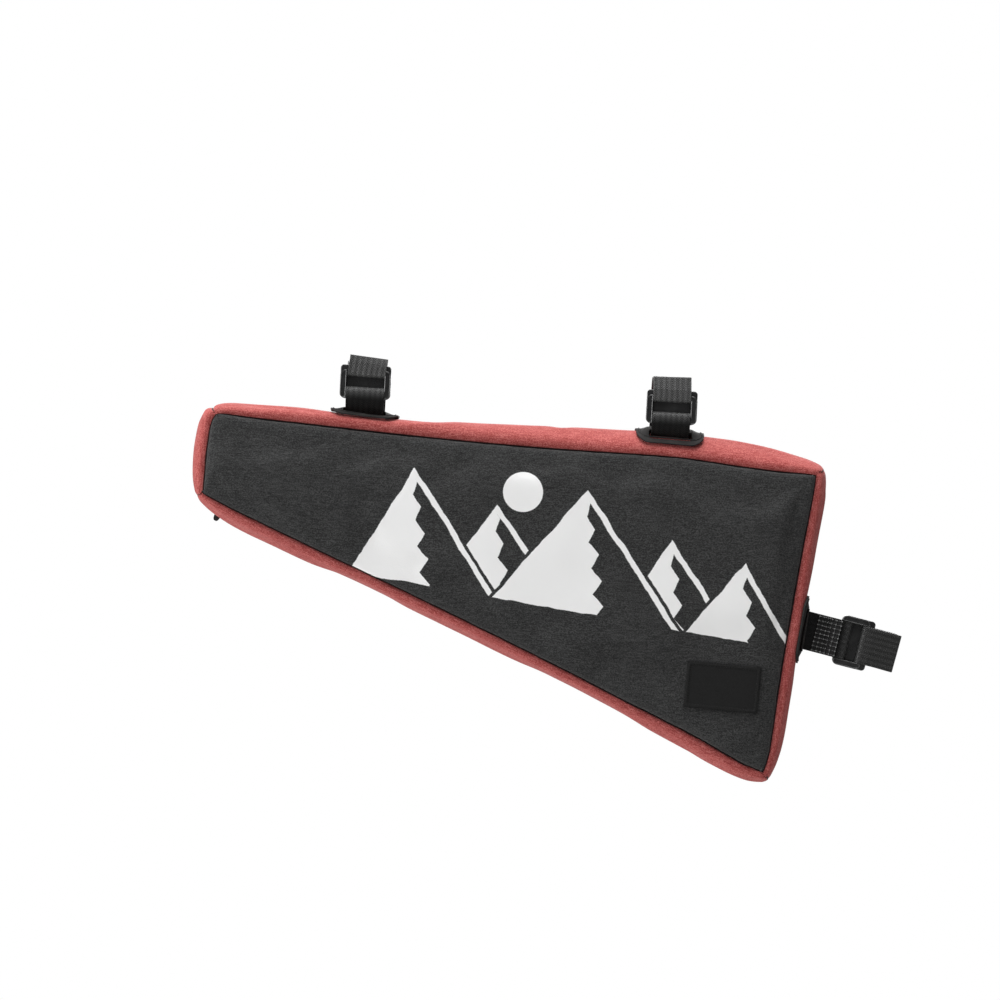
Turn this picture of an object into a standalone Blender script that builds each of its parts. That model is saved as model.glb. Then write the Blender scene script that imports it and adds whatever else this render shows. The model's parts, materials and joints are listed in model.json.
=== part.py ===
# Triangular bicycle frame bag with two strap loops along its top and a third at its rear edge.
# Lengths are in metres. X runs to the rear, Y away from the near side and Z up.
# The origin is midway between the middles of the two upper loops.

import math

import bmesh
import bpy
from mathutils import Matrix, Vector

# Side panels, measured along their seam
PANEL_TOP_LENGTH = 0.3498
PANEL_TOP_SLOPE = math.radians(5.83)
FRONT_HEIGHT = 0.0475
FRONT_RAKE = math.radians(9.75)
REAR_HEIGHT = 0.1757
REAR_RAKE = math.radians(10.1)
BAG_WIDTH = 0.052
FABRIC_WALL = 0.002
PANEL_DOME = 0.0038
PANEL_ROLL = 0.0055
SEAM_GAP = 0.0003

# Gusset, the red band round the panels, with its crown above the seam
TOP_CROWN = 0.0115
SIDE_CROWN = 0.0066
SEAM_BOW = 0.0022
MITRE_REACH = 0.012
CROWN_FACETS = 10

# Zip in the far panel
ZIP_DROP = 0.020
ZIP_OPENING = 0.011
ZIP_TAPE_LAP = 0.004
ZIP_TAPE_WALL = 0.0008
ZIP_COIL_WIDTH = 0.005
ZIP_COIL_RISE = 0.0016
ZIP_END_SHARE = 0.003
SLIDER_SHARE = 0.062
SLIDER_LENGTH = 0.010
SLIDER_WIDTH = 0.008
SLIDER_RISE = 0.0028
PULL_LENGTH = 0.0405
PULL_WIDTH = 0.0034
PULL_WALL = 0.0015
PULL_LEAN = math.radians(21)

# Woven label on the near panel
LABEL_LENGTH = 0.043
LABEL_HEIGHT = 0.027
LABEL_WALL = 0.0007
LABEL_LENGTH_SHARE = 0.904
LABEL_DROP_SHARE = 0.786
LABEL_TILT = math.radians(5.5)

# Webbing straps, with the two upper ones placed by share of the top strip and the third of the rear one
STRAP_SHARES = (0.2444, 0.7513)
SEAT_STRAP_SHARE = 0.512
STRAP_WIDTH = 0.022
STRAP_WALL = 0.0013
STRAP_GAP = 0.0003
LOOP_GAP = 0.0003
TAIL_LEAN = 0.25
FLAP_LENGTH = 0.0045
STRAP_BEND = 0.0018
SLOT_BEND = 0.0012
SLOT_SHIFT = 0.0014

# Die-cut patches that the straps pass under
PATCH_WALL = 0.001
PATCH_GAP = 0.0003
PATCH_CORNER = 0.007
PATCH_INSET = 0.0015
SLOT_PLAY = 0.0039
SLOT_END_GAP = 0.0014
SLOT_SIDE_RIM = 0.0017
SLOT_END_RIM = 0.0073
BRIDGE_RAMP = 0.0035
SLOT_WIDTH = STRAP_WALL + SLOT_PLAY
SLOT_LENGTH = STRAP_WIDTH + 2 * SLOT_END_GAP
PATCH_LENGTH = SLOT_LENGTH + 2 * SLOT_END_RIM
PATCH_REACH = BAG_WIDTH / 2 - PATCH_INSET
SLOT_REACH = PATCH_REACH - SLOT_SIDE_RIM - SLOT_WIDTH / 2

# By loop: the buckle's lift from level with the loop's middle, the tail's rise over the loop's inside,
# and the slant of the tail's cut end
FRONT_BUCKLE_LIFT, FRONT_TAIL_RISE, FRONT_TAIL_SLANT = 0.0027, 0.0037, math.radians(4.8)
REAR_BUCKLE_LIFT, REAR_TAIL_RISE, REAR_TAIL_SLANT = -0.0029, 0.0010, math.radians(-2.2)
SEAT_BUCKLE_LIFT, SEAT_TAIL_RISE, SEAT_TAIL_SLANT = 0.0022, 0.0024, 0.0

# Ladder buckles
BUCKLE_GAP = 0.00035
BUCKLE_CORNER = 0.0036
BUCKLE_CHAMFER = 0.28
BAR_HEIGHT = 0.0054
BAR_DEPTH = 0.003
RAIL_WIDTH = 0.0028
RAIL_DEPTH = 0.0052
RAIL_GAP = 0.0008
CENTRE_BAR_HEIGHT = 0.0048
CENTRE_BAR_DEPTH = 0.0024
BUCKLE_LENGTH = STRAP_WIDTH + 2 * (RAIL_GAP + RAIL_WIDTH)
BUCKLE_HEIGHT = CENTRE_BAR_HEIGHT + 2 * (STRAP_WALL + 2 * BUCKLE_GAP + BAR_HEIGHT)

# Inside of each strap loop: its width across the bag, its height away from the bag and its corner radius
TOP_LOOP_WIDTH = 0.038
TOP_LOOP_HEIGHT = 0.027
TOP_LOOP_CORNER = 0.009
SEAT_LOOP_WIDTH = 0.030
SEAT_LOOP_DEPTH = 0.051
SEAT_LOOP_CORNER = 0.012
SEAT_LOOP_TILT = math.radians(14.4)

# By share of a strip's length: seam bow as a share of SEAM_BOW, crown as a share of the strip's own crown,
# and how square the crown is across the bag, from 2 for an ellipse upwards
TOP_ROWS = (
    {"share": 0.00, "bow": 0.00, "crown": 0.30, "square": 2.8},
    {"share": 0.012, "bow": 0.30, "crown": 0.48, "square": 2.8},
    {"share": 0.055, "bow": -0.15, "crown": 0.62, "square": 3.6},
    {"share": 0.13, "bow": -0.25, "crown": 0.77, "square": 4.6},
    {"share": 0.25, "bow": -0.50, "crown": 0.70, "square": 5.0},
    {"share": 0.31, "bow": -0.62, "crown": 0.76, "square": 4.8},
    {"share": 0.44, "bow": -0.55, "crown": 0.95, "square": 3.6},
    {"share": 0.58, "bow": -0.10, "crown": 1.09, "square": 2.7},
    {"share": 0.70, "bow": 0.68, "crown": 1.19, "square": 2.3},
    {"share": 0.76, "bow": 1.00, "crown": 1.22, "square": 2.2},
    {"share": 0.81, "bow": 0.95, "crown": 1.22, "square": 2.2},
    {"share": 0.875, "bow": 0.05, "crown": 1.25, "square": 2.2},
    {"share": 0.92, "bow": -0.10, "crown": 1.10, "square": 2.3},
    {"share": 0.973, "bow": 0.05, "crown": 0.75, "square": 2.6},
    {"share": 1.00, "bow": 0.00, "crown": 0.40, "square": 2.8},
)
REAR_ROWS = (
    {"share": 0.00, "bow": 0.00, "crown": 0.67, "square": 2.8},
    {"share": 0.05, "bow": 0.15, "crown": 1.09, "square": 2.8},
    {"share": 0.25, "bow": -0.15, "crown": 1.20, "square": 3.2},
    {"share": 0.42, "bow": -0.15, "crown": 1.15, "square": 4.4},
    {"share": 0.53, "bow": -0.15, "crown": 1.14, "square": 4.8},
    {"share": 0.62, "bow": -0.18, "crown": 1.17, "square": 4.6},
    {"share": 0.78, "bow": 0.20, "crown": 1.16, "square": 3.4},
    {"share": 0.93, "bow": 0.70, "crown": 0.96, "square": 2.8},
    {"share": 1.00, "bow": 0.00, "crown": 0.57, "square": 2.8},
)
BOTTOM_ROWS = (
    {"share": 0.00, "bow": 0.00, "crown": 0.60, "square": 2.8},
    {"share": 0.04, "bow": 0.65, "crown": 1.45, "square": 2.8},
    {"share": 0.11, "bow": -0.50, "crown": 1.56, "square": 2.8},
    {"share": 0.20, "bow": -0.35, "crown": 1.27, "square": 2.8},
    {"share": 0.30, "bow": -0.62, "crown": 1.11, "square": 2.8},
    {"share": 0.45, "bow": -0.75, "crown": 1.13, "square": 2.8},
    {"share": 0.60, "bow": -0.60, "crown": 1.14, "square": 2.8},
    {"share": 0.74, "bow": -0.20, "crown": 1.15, "square": 2.8},
    {"share": 0.85, "bow": 0.05, "crown": 1.33, "square": 2.8},
    {"share": 0.93, "bow": 0.28, "crown": 1.30, "square": 2.8},
    {"share": 0.97, "bow": 0.20, "crown": 1.09, "square": 2.8},
    {"share": 1.00, "bow": 0.00, "crown": 0.56, "square": 2.8},
)
FRONT_ROWS = (
    {"share": 0.00, "bow": 0.00, "crown": 0.51, "square": 2.8},
    {"share": 0.15, "bow": 0.20, "crown": 0.99, "square": 2.8},
    {"share": 0.45, "bow": 0.75, "crown": 1.17, "square": 2.8},
    {"share": 0.70, "bow": 0.97, "crown": 1.17, "square": 2.8},
    {"share": 0.90, "bow": 0.90, "crown": 1.03, "square": 2.8},
    {"share": 1.00, "bow": 0.00, "crown": 0.60, "square": 2.8},
)

# Colour, roughness and metallic value of each finish
FINISHES = {
    "panel_fabric": ((0.040, 0.041, 0.042), 0.85, 0.0),
    "band_fabric": ((0.45, 0.095, 0.085), 0.85, 0.0),
    "webbing": ((0.022, 0.022, 0.023), 0.80, 0.0),
    "patch_rubber": ((0.020, 0.020, 0.021), 0.60, 0.0),
    "buckle_plastic": ((0.018, 0.018, 0.019), 0.40, 0.0),
    "zip_nylon": ((0.020, 0.020, 0.021), 0.65, 0.0),
    "slider_metal": ((0.030, 0.030, 0.032), 0.35, 0.8),
    "label_weave": ((0.012, 0.012, 0.012), 0.80, 0.0),
}


# Scene and mesh helpers

def clear_scene():
    for obj in list(bpy.data.objects):
        bpy.data.objects.remove(obj)


def finish_material(name):
    known = bpy.data.materials.get(name)
    if known:
        return known
    colour, roughness, metallic = FINISHES[name]
    material = bpy.data.materials.new(name)
    material.use_nodes = True
    shader = material.node_tree.nodes["Principled BSDF"]
    shader.inputs["Base Color"].default_value = (*colour, 1.0)
    shader.inputs["Roughness"].default_value = roughness
    shader.inputs["Metallic"].default_value = metallic
    return material


def add_object(name, mesh, finish, parent):
    mesh.materials.clear()
    mesh.materials.append(finish_material(finish))
    obj = bpy.data.objects.new(name, mesh)
    bpy.context.scene.collection.objects.link(obj)
    obj.parent = parent
    return obj


def mesh_from(name, points, faces):
    mesh = bpy.data.meshes.new(name)
    mesh.from_pydata([tuple(p) for p in points], [], faces)
    shell = bmesh.new()
    shell.from_mesh(mesh)
    bmesh.ops.recalc_face_normals(shell, faces=shell.faces)
    shell.to_mesh(mesh)
    shell.free()
    mesh.shade_smooth()
    mesh.set_sharp_from_angle(angle=math.radians(40))
    return mesh


# A sheet with two skins, given as two grids of points, and a rim wherever a cell has no neighbour
def thick_sheet(name, outer, inner, holes=()):
    rows, columns = len(outer), len(outer[0])
    points = [p for row in outer for p in row] + [p for row in inner for p in row]
    inner_start = rows * columns
    cells = {
        (i, j) for i in range(rows - 1) for j in range(columns - 1) if (i, j) not in holes
    }
    faces = []
    for i, j in sorted(cells):
        corners = [(i, j), (i + 1, j), (i + 1, j + 1), (i, j + 1)]
        ring = [a * columns + b for a, b in corners]
        faces.append(ring)
        faces.append([inner_start + k for k in reversed(ring)])
        neighbours = [(i, j - 1), (i + 1, j), (i, j + 1), (i - 1, j)]
        for side, neighbour in enumerate(neighbours):
            if neighbour not in cells:
                a, b = ring[side], ring[(side + 1) % 4]
                faces.append([b, a, inner_start + a, inner_start + b])
    used = sorted({k for face in faces for k in face})
    place = {k: n for n, k in enumerate(used)}
    return mesh_from(name, [points[k] for k in used], [[place[k] for k in f] for f in faces])


def even_shares(count):
    return [k / count for k in range(count + 1)]


# Shares from 0 to 1, evenly spaced between two sets of closer ones at the ends
def edged_shares(ends, middle_count):
    middle = [ends[-1] + (1 - 2 * ends[-1]) * s for s in even_shares(middle_count)]
    return list(ends[:-1]) + middle + [1 - s for s in reversed(ends[:-1])]


LENGTH_SHARES = edged_shares((0.0, 0.006, 0.016, 0.035, 0.07), 12)
HEIGHT_SHARES = edged_shares((0.0, 0.02, 0.05, 0.10, 0.18), 5)


def smooth_step(value):
    held = min(1.0, max(0.0, value))
    return held * held * (3 - 2 * held)


# A column of a table read at a share, on a smooth curve through its rows
def read_rows(rows, column, share):
    last = len(rows) - 1
    k = max(0, min(last - 1, sum(1 for row in rows if row["share"] <= share) - 1))

    def slope(n):
        a, b = rows[max(0, n - 1)], rows[min(last, n + 1)]
        return (b[column] - a[column]) / (b["share"] - a["share"])

    step = rows[k + 1]["share"] - rows[k]["share"]
    s = (share - rows[k]["share"]) / step
    start, end = rows[k][column], rows[k + 1][column]
    return (
        start * (2 * s**3 - 3 * s**2 + 1)
        + end * (3 * s**2 - 2 * s**3)
        + step * slope(k) * (s**3 - 2 * s**2 + s)
        + step * slope(k + 1) * (s**3 - s**2)
    )


# Seam outline: four strips, clockwise as seen from the near side, in the plane of X and Z

def in_plane(x, z):
    return Vector((x, 0.0, z))


TOP_FRONT = in_plane(0.0, 0.0)
TOP_REAR = TOP_FRONT + PANEL_TOP_LENGTH * in_plane(
    math.cos(PANEL_TOP_SLOPE), -math.sin(PANEL_TOP_SLOPE)
)
BOTTOM_FRONT = TOP_FRONT + FRONT_HEIGHT * in_plane(-math.sin(FRONT_RAKE), -math.cos(FRONT_RAKE))
BOTTOM_REAR = TOP_REAR + REAR_HEIGHT * in_plane(-math.sin(REAR_RAKE), -math.cos(REAR_RAKE))


class Strip:
    def __init__(self, name, start, end, rows, crown, shares):
        self.name, self.start, self.end = name, start, end
        self.rows, self.crown_size, self.shares = rows, crown, shares
        self.run = end - start
        self.length = self.run.length
        along = self.run.normalized()
        self.normal = in_plane(-along.z, along.x)
        self.mitres = (self.normal, self.normal)

    # Direction in which the strip swells: square to it, and along the mitre at its ends
    def outward(self, share):
        near_end = 0 if share < 0.5 else 1
        reach = (share if near_end == 0 else 1 - share) * self.length / MITRE_REACH
        return self.normal.lerp(self.mitres[near_end], 1 - smooth_step(reach))

    def seam(self, share, offset=0.0):
        bow = SEAM_BOW * read_rows(self.rows, "bow", share)
        point = self.start + self.run * share + self.normal * bow
        return point + self.outward(share) * offset

    def crown(self, share):
        return self.crown_size * read_rows(self.rows, "crown", share)

    def square(self, share):
        return read_rows(self.rows, "square", share)

    # Height over the seam plane at a distance across from the middle
    def crown_at(self, share, across):
        square = self.square(share)
        left = 1 - min(1.0, abs(across) / (BAG_WIDTH / 2)) ** square
        return self.crown(share) * left ** (1 / square)


STRIPS = {
    "top": Strip("top", TOP_FRONT, TOP_REAR, TOP_ROWS, TOP_CROWN, LENGTH_SHARES),
    "rear": Strip("rear", TOP_REAR, BOTTOM_REAR, REAR_ROWS, SIDE_CROWN, HEIGHT_SHARES),
    "bottom": Strip("bottom", BOTTOM_REAR, BOTTOM_FRONT, BOTTOM_ROWS, SIDE_CROWN, LENGTH_SHARES),
    "front": Strip("front", BOTTOM_FRONT, TOP_FRONT, FRONT_ROWS, SIDE_CROWN, HEIGHT_SHARES),
}


def join_mitres():
    order = list(STRIPS.values())
    for k, strip in enumerate(order):
        following = order[(k + 1) % len(order)]
        both = strip.normal + following.normal
        mitre = both / (1 + strip.normal.dot(following.normal))
        strip.mitres = (strip.mitres[0], mitre)
        following.mitres = (mitre, following.mitres[1])


join_mitres()


# One strip of the gusset: a fabric wall with a rounded crown from seam to seam
def gusset_mesh(strip):
    along = strip.run.normalized()
    trim = [SEAM_GAP / 2 / abs(mitre.normalized().cross(along).y) for mitre in strip.mitres]
    outer, inner = [], []
    for share in strip.shares:
        shift = (trim[0] * (1 - share) - trim[1] * share) * along
        crown, half, bend = strip.crown(share), BAG_WIDTH / 2, 2 / strip.square(share)
        seam, swell = strip.seam(share) + shift, strip.outward(share)
        skins = ((outer, crown, half), (inner, max(crown - FABRIC_WALL, crown / 8), half - FABRIC_WALL))
        for skin, rise, reach in skins:
            row = []
            for k in range(CROWN_FACETS + 1):
                turn = math.pi * (k / CROWN_FACETS - 0.5)
                up = rise * max(0.0, math.cos(turn)) ** bend
                across = math.copysign(reach * abs(math.sin(turn)) ** bend, turn)
                row.append(seam + swell * up + Vector((0, across, 0)))
            skin.append(row)
    return thick_sheet(f"gusset_{strip.name}", outer, inner)


# Side panels: a smooth patch between the four seams, domed by its padding and rolled down to the seam

def panel_plan(length_share, drop_share):
    u, v = length_share, drop_share
    top = STRIPS["top"].seam(u, -SEAM_GAP)
    bottom = STRIPS["bottom"].seam(1 - u, -SEAM_GAP)
    front = STRIPS["front"].seam(1 - v, -SEAM_GAP)
    rear = STRIPS["rear"].seam(v, -SEAM_GAP)
    corners = (
        STRIPS["top"].seam(0, -SEAM_GAP) * (1 - u) * (1 - v)
        + STRIPS["top"].seam(1, -SEAM_GAP) * u * (1 - v)
        + STRIPS["bottom"].seam(1, -SEAM_GAP) * (1 - u) * v
        + STRIPS["bottom"].seam(0, -SEAM_GAP) * u * v
    )
    return top * (1 - v) + bottom * v + front * (1 - u) + rear * u - corners


def panel_height(length_share):
    return FRONT_HEIGHT * (1 - length_share) + REAR_HEIGHT * length_share


def panel_dome(length_share, drop_share):
    height = panel_height(length_share)
    to_seams = (
        length_share * PANEL_TOP_LENGTH,
        (1 - length_share) * PANEL_TOP_LENGTH,
        drop_share * height,
        (1 - drop_share) * height,
    )
    return PANEL_DOME * math.prod(1 - math.exp(-max(0.0, d) / PANEL_ROLL) for d in to_seams)


# A point of a side panel: side is -1 for the near one and 1 for the far one, depth is measured inwards
def panel_point(side, length_share, drop_share, depth=0.0):
    out = BAG_WIDTH / 2 + panel_dome(length_share, drop_share) - depth
    return panel_plan(length_share, drop_share) + Vector((0, side * out, 0))


def panel_share_at(point):
    u, v = 0.5, 0.5
    step = 1e-3
    for _ in range(12):
        here = panel_plan(u, v)
        miss = point - here
        by_u = (panel_plan(u + step, v) - panel_plan(u - step, v)) / (2 * step)
        by_v = (panel_plan(u, v + step) - panel_plan(u, v - step)) / (2 * step)
        area = by_u.x * by_v.z - by_u.z * by_v.x
        u = min(0.98, max(0.02, u + (miss.x * by_v.z - miss.z * by_v.x) / area))
        v = min(0.98, max(0.02, v + (by_u.x * miss.z - by_u.z * miss.x) / area))
    return u, v


# A piece of a side panel, with its rows of drop shares given by length share
def panel_mesh(name, side, drops_at):
    outer, inner = [], []
    for u in LENGTH_SHARES:
        outer.append([panel_point(side, u, v) for v in drops_at(u)])
        inner.append([panel_point(side, u, v, FABRIC_WALL) for v in drops_at(u)])
    return thick_sheet(name, outer, inner)


def whole_drops(_length_share):
    return HEIGHT_SHARES


# Rows above the zip's slit
def upper_drops(length_share):
    edge = (ZIP_DROP - ZIP_OPENING / 2) / panel_height(length_share)
    return [edge * s for s in (0.0, 0.1, 0.28, 0.6, 1.0)]


# Rows below the slit, which end on those of a whole panel
def lower_drops(length_share):
    edge = (ZIP_DROP + ZIP_OPENING / 2) / panel_height(length_share)
    settled = [s for s in HEIGHT_SHARES if s > 0.75]
    return [edge + (settled[0] - edge) * s for s in (0.0, 0.2, 0.45, 0.72)] + settled


# Zip: a tape behind the slit in the far panel, with the closed coil standing in the slit
def zip_tape_mesh():
    half_tape = ZIP_OPENING / 2 + ZIP_TAPE_LAP
    half_coil = ZIP_COIL_WIDTH / 2
    tape_depth = FABRIC_WALL + SEAM_GAP
    coil_depth = tape_depth - ZIP_COIL_RISE
    profile = (
        (-half_tape, tape_depth),
        (-half_coil, tape_depth),
        (-half_coil, coil_depth),
        (half_coil, coil_depth),
        (half_coil, tape_depth),
        (half_tape, tape_depth),
    )
    outer, inner = [], []
    for s in even_shares(16):
        u = ZIP_END_SHARE + (1 - 2 * ZIP_END_SHARE) * s
        height = panel_height(u)
        drops = [(ZIP_DROP + offset) / height for offset, _ in profile]
        middle = panel_point(1, u, ZIP_DROP / height)
        outer.append([
            Vector((p.x, (p if depth == tape_depth else middle).y - depth, p.z))
            for p, depth in ((panel_point(1, u, v), depth) for v, (_, depth) in zip(drops, profile))
        ])
        inner.append([panel_point(1, u, v, tape_depth + ZIP_TAPE_WALL) for v in drops])
    return thick_sheet("zip_tape", outer, inner)


def slider_frame():
    share = ZIP_DROP / panel_height(SLIDER_SHARE)
    centre = panel_point(1, SLIDER_SHARE, share, FABRIC_WALL + SEAM_GAP - ZIP_COIL_RISE)
    return centre + Vector((0, SEAM_GAP, 0))


# Slider body: a block with its two long ends narrowed
def zip_slider_mesh():
    centre = slider_frame()
    tilt = Matrix.Rotation(PANEL_TOP_SLOPE, 4, "Y")
    rows = ((-0.5, 0.62), (-0.3, 1.0), (0.15, 1.0), (0.5, 0.5))
    outer, inner = [], []
    for along, width in rows:
        base = [Vector((along * SLIDER_LENGTH, 0, across * width * SLIDER_WIDTH)) for across in (-0.5, 0.5)]
        inner.append([centre + tilt @ p for p in base])
        outer.append([centre + tilt @ p + Vector((0, SLIDER_RISE, 0)) for p in base])
    return thick_sheet("zip_slider", outer, inner)


# Pull: a flat tab that hangs over the slider and past the bag's lower edge, with a rounded tip
def zip_pull_mesh():
    top = slider_frame() + Vector((0, SLIDER_RISE + SEAM_GAP, 0))
    down = Vector((-math.sin(PULL_LEAN), 0, -math.cos(PULL_LEAN)))
    aside = Vector((math.cos(PULL_LEAN), 0, -math.sin(PULL_LEAN)))
    rows = ((0.0, 0.55), (0.04, 1.0), (0.5, 0.86), (0.94, 1.0), (0.98, 0.8), (1.0, 0.4))
    outer, inner = [], []
    for share, width in rows:
        across = [top + down * share * PULL_LENGTH + aside * s * width * PULL_WIDTH for s in (-0.5, 0.5)]
        inner.append(across)
        outer.append([p + Vector((0, PULL_WALL, 0)) for p in across])
    return thick_sheet("zip_pull", outer, inner)


# Woven label sewn flat on the near panel
def label_mesh():
    centre = panel_plan(LABEL_LENGTH_SHARE, LABEL_DROP_SHARE)
    tilt = Matrix.Rotation(LABEL_TILT, 4, "Y")
    outer, inner = [], []
    for s in even_shares(6):
        outer_row, inner_row = [], []
        for d in even_shares(4):
            flat = Vector(((s - 0.5) * LABEL_LENGTH, 0, (0.5 - d) * LABEL_HEIGHT))
            u, v = panel_share_at(centre + tilt @ flat)
            inner_row.append(panel_point(-1, u, v, -SEAM_GAP))
            outer_row.append(panel_point(-1, u, v, -SEAM_GAP - LABEL_WALL))
        outer.append(outer_row)
        inner.append(inner_row)
    return thick_sheet("label_patch", outer, inner)


# Room between the gusset's crown and the loop's inside: the strap under the patch's bridge
STACK = PATCH_GAP + STRAP_WALL + STRAP_GAP + PATCH_WALL + LOOP_GAP


# A strap loop's own frame: X along the loop's axis, Y across the bag, Z away from the bag.
# Its origin is in the middle of the loop.
class Loop:
    def __init__(self, name, strip, share, turn, inside, lift, tail_rise, tail_slant):
        self.name, self.strip, self.share, self.turn = name, strip, share, turn
        self.half_width, self.half_height, self.corner = inside
        self.buckle_lift, self.tail_rise, self.tail_slant = lift, tail_rise, tail_slant
        self.x_axis = in_plane(math.cos(turn), -math.sin(turn))
        self.z_axis = in_plane(math.sin(turn), math.cos(turn))
        self.crest = strip.seam(share, strip.crown(share))
        self.foot = -(self.half_height + STACK)
        self.centre = self.crest - self.z_axis * self.foot

    # Height of the gusset in this frame at a place along the axis and across the bag
    def ground(self, along, across):
        share = self.share
        for _ in range(4):
            point = self.strip.seam(share, self.strip.crown_at(share, across)) - self.centre
            share += (along - point.dot(self.x_axis)) / self.strip.length
        return point.dot(self.z_axis)

    # A place on the gusset raised square to it
    def raised(self, along, across, height):
        step = 2e-4
        by_x = (self.ground(along + step, across) - self.ground(along - step, across)) / (2 * step)
        by_y = (self.ground(along, across + step) - self.ground(along, across - step)) / (2 * step)
        normal = Vector((-by_x, -by_y, 1)).normalized()
        return Vector((along, across, self.ground(along, across))) + normal * height


def make_loops():
    upper = (TOP_LOOP_WIDTH / 2, TOP_LOOP_HEIGHT / 2, TOP_LOOP_CORNER)
    seat = (SEAT_LOOP_WIDTH / 2, SEAT_LOOP_DEPTH / 2, SEAT_LOOP_CORNER)
    top, rear = STRIPS["top"], STRIPS["rear"]
    crests = [top.seam(share, top.crown(share)) for share in STRAP_SHARES]
    span = crests[1] - crests[0]
    slope = math.atan2(-span.z, span.x)
    return (
        Loop("front", top, STRAP_SHARES[0], slope, upper,
             FRONT_BUCKLE_LIFT, FRONT_TAIL_RISE, FRONT_TAIL_SLANT),
        Loop("rear", top, STRAP_SHARES[1], slope, upper,
             REAR_BUCKLE_LIFT, REAR_TAIL_RISE, REAR_TAIL_SLANT),
        Loop("seat", rear, SEAT_STRAP_SHARE, math.pi / 2 + SEAT_LOOP_TILT, seat,
             SEAT_BUCKLE_LIFT, SEAT_TAIL_RISE, SEAT_TAIL_SLANT),
    )


# Patch: a plate draped over the gusset, with two slots and a bridge raised over the strap
def patch_mesh(loop):
    half_length, half_slot = PATCH_LENGTH / 2, SLOT_LENGTH / 2
    slot_in, slot_out = SLOT_REACH - SLOT_WIDTH / 2, SLOT_REACH + SLOT_WIDTH / 2
    raise_by = STRAP_WALL + STRAP_GAP
    ends = (1.0, 0.93, 0.78, 0.55, 0.25)
    alongs = [half_slot + (half_length - half_slot) * s for s in ends] + [half_slot, half_slot / 2]
    alongs = [-a for a in alongs] + [0.0] + list(reversed(alongs))
    acrosses = [slot_in * s for s in (0.0, 0.4, 0.75, 1.0)]
    acrosses += [slot_out] + [slot_out + (PATCH_REACH - slot_out) * s for s in (0.5, 1.0)]
    acrosses = [-a for a in reversed(acrosses[1:])] + acrosses
    outer, inner = [], []
    for along in alongs:
        past = max(0.0, abs(along) - (half_length - PATCH_CORNER)) / PATCH_CORNER
        narrow = 1 - PATCH_CORNER / PATCH_REACH * (1 - math.sqrt(max(0.0, 1 - past * past)))
        over_strap = 1 - smooth_step((abs(along) - half_slot) / BRIDGE_RAMP)
        outer_row, inner_row = [], []
        for across in acrosses:
            in_bridge = 1 - smooth_step((abs(across) - slot_in) / SLOT_WIDTH)
            height = PATCH_GAP + raise_by * over_strap * in_bridge
            inner_row.append(loop.raised(along, across * narrow, height))
            outer_row.append(loop.raised(along, across * narrow, height + PATCH_WALL))
        outer.append(outer_row)
        inner.append(inner_row)
    holes = {
        (i, j)
        for i in range(len(alongs) - 1)
        for j in range(len(acrosses) - 1)
        if abs(alongs[i] + alongs[i + 1]) / 2 < half_slot
        and slot_in < abs(acrosses[j] + acrosses[j + 1]) / 2 < slot_out
    }
    return thick_sheet(f"{loop.name}_patch", outer, inner, holes)


# A line through corners given as (across, height, bend radius), with each corner rounded to an arc
def rounded_line(corners, arc_steps=3):
    line = []
    last = len(corners) - 1
    for k, (y, z, radius) in enumerate(corners):
        here = Vector((y, z))
        if k in (0, last) or radius == 0:
            line.append(here)
            continue
        before = (Vector(corners[k - 1][:2]) - here).normalized()
        after = (Vector(corners[k + 1][:2]) - here).normalized()
        half_turn = before.angle(after) / 2
        if half_turn > math.radians(88):
            line.append(here)
            continue
        centre = here + (before + after).normalized() * radius / math.sin(half_turn)
        start = here + before * radius / math.tan(half_turn) - centre
        end = here + after * radius / math.tan(half_turn) - centre
        sweep = start.angle_signed(end)
        for s in even_shares(arc_steps):
            turn = Matrix.Rotation(-sweep * s, 2)
            line.append(centre + turn @ start)
    return line


# Middle line of a strap, seen along the loop's axis: flap, lower bar, near slot, under the bridge, far slot,
# over the top, upper bar and tail
def strap_line(loop):
    half = STRAP_WALL / 2
    snug = loop.half_width + LOOP_GAP + half
    over = loop.half_height + LOOP_GAP + half
    on_layer = snug + STRAP_WALL + STRAP_GAP
    in_front = snug + half + BUCKLE_GAP + BAR_DEPTH + BUCKLE_GAP + half
    lower_bar, upper_bar = loop.buckle_lift - BUCKLE_HEIGHT / 2, loop.buckle_lift + BUCKLE_HEIGHT / 2
    into_window = BAR_HEIGHT + BUCKLE_GAP + half
    tail_end = loop.half_height + loop.tail_rise
    tail_lean = min(in_front - on_layer, (tail_end - upper_bar) * TAIL_LEAN)
    near_corner = min(loop.corner, over - upper_bar + into_window - STRAP_BEND)
    line = [
        (-snug, lower_bar - FLAP_LENGTH, 0),
        (-snug, lower_bar + into_window, STRAP_BEND),
        (-in_front, lower_bar + into_window, STRAP_BEND),
        (-in_front, lower_bar, STRAP_BEND),
        (-on_layer, lower_bar - FLAP_LENGTH, STRAP_BEND),
    ]
    near = [(SLOT_SHIFT - SLOT_REACH) * s for s in (1, 0.75, 0.4)]
    far = [SLOT_REACH * s for s in (0, 0.4, 0.75, 1)]
    rests = [loop.raised(0, across, half + PATCH_GAP) for across in near + far]
    slots = (0, len(rests) - 1)
    line += [(p.y, p.z, SLOT_BEND if k in slots else 0) for k, p in enumerate(rests)]
    line += [
        (snug, -loop.half_height + loop.corner, STRAP_BEND),
        (snug, over, loop.corner),
        (-snug, over, near_corner),
        (-snug, upper_bar - into_window, STRAP_BEND),
        (-in_front, upper_bar - into_window, STRAP_BEND),
        (-in_front, upper_bar, STRAP_BEND),
        (-in_front + tail_lean, tail_end, 0),
    ]
    return rounded_line(line)


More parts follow.
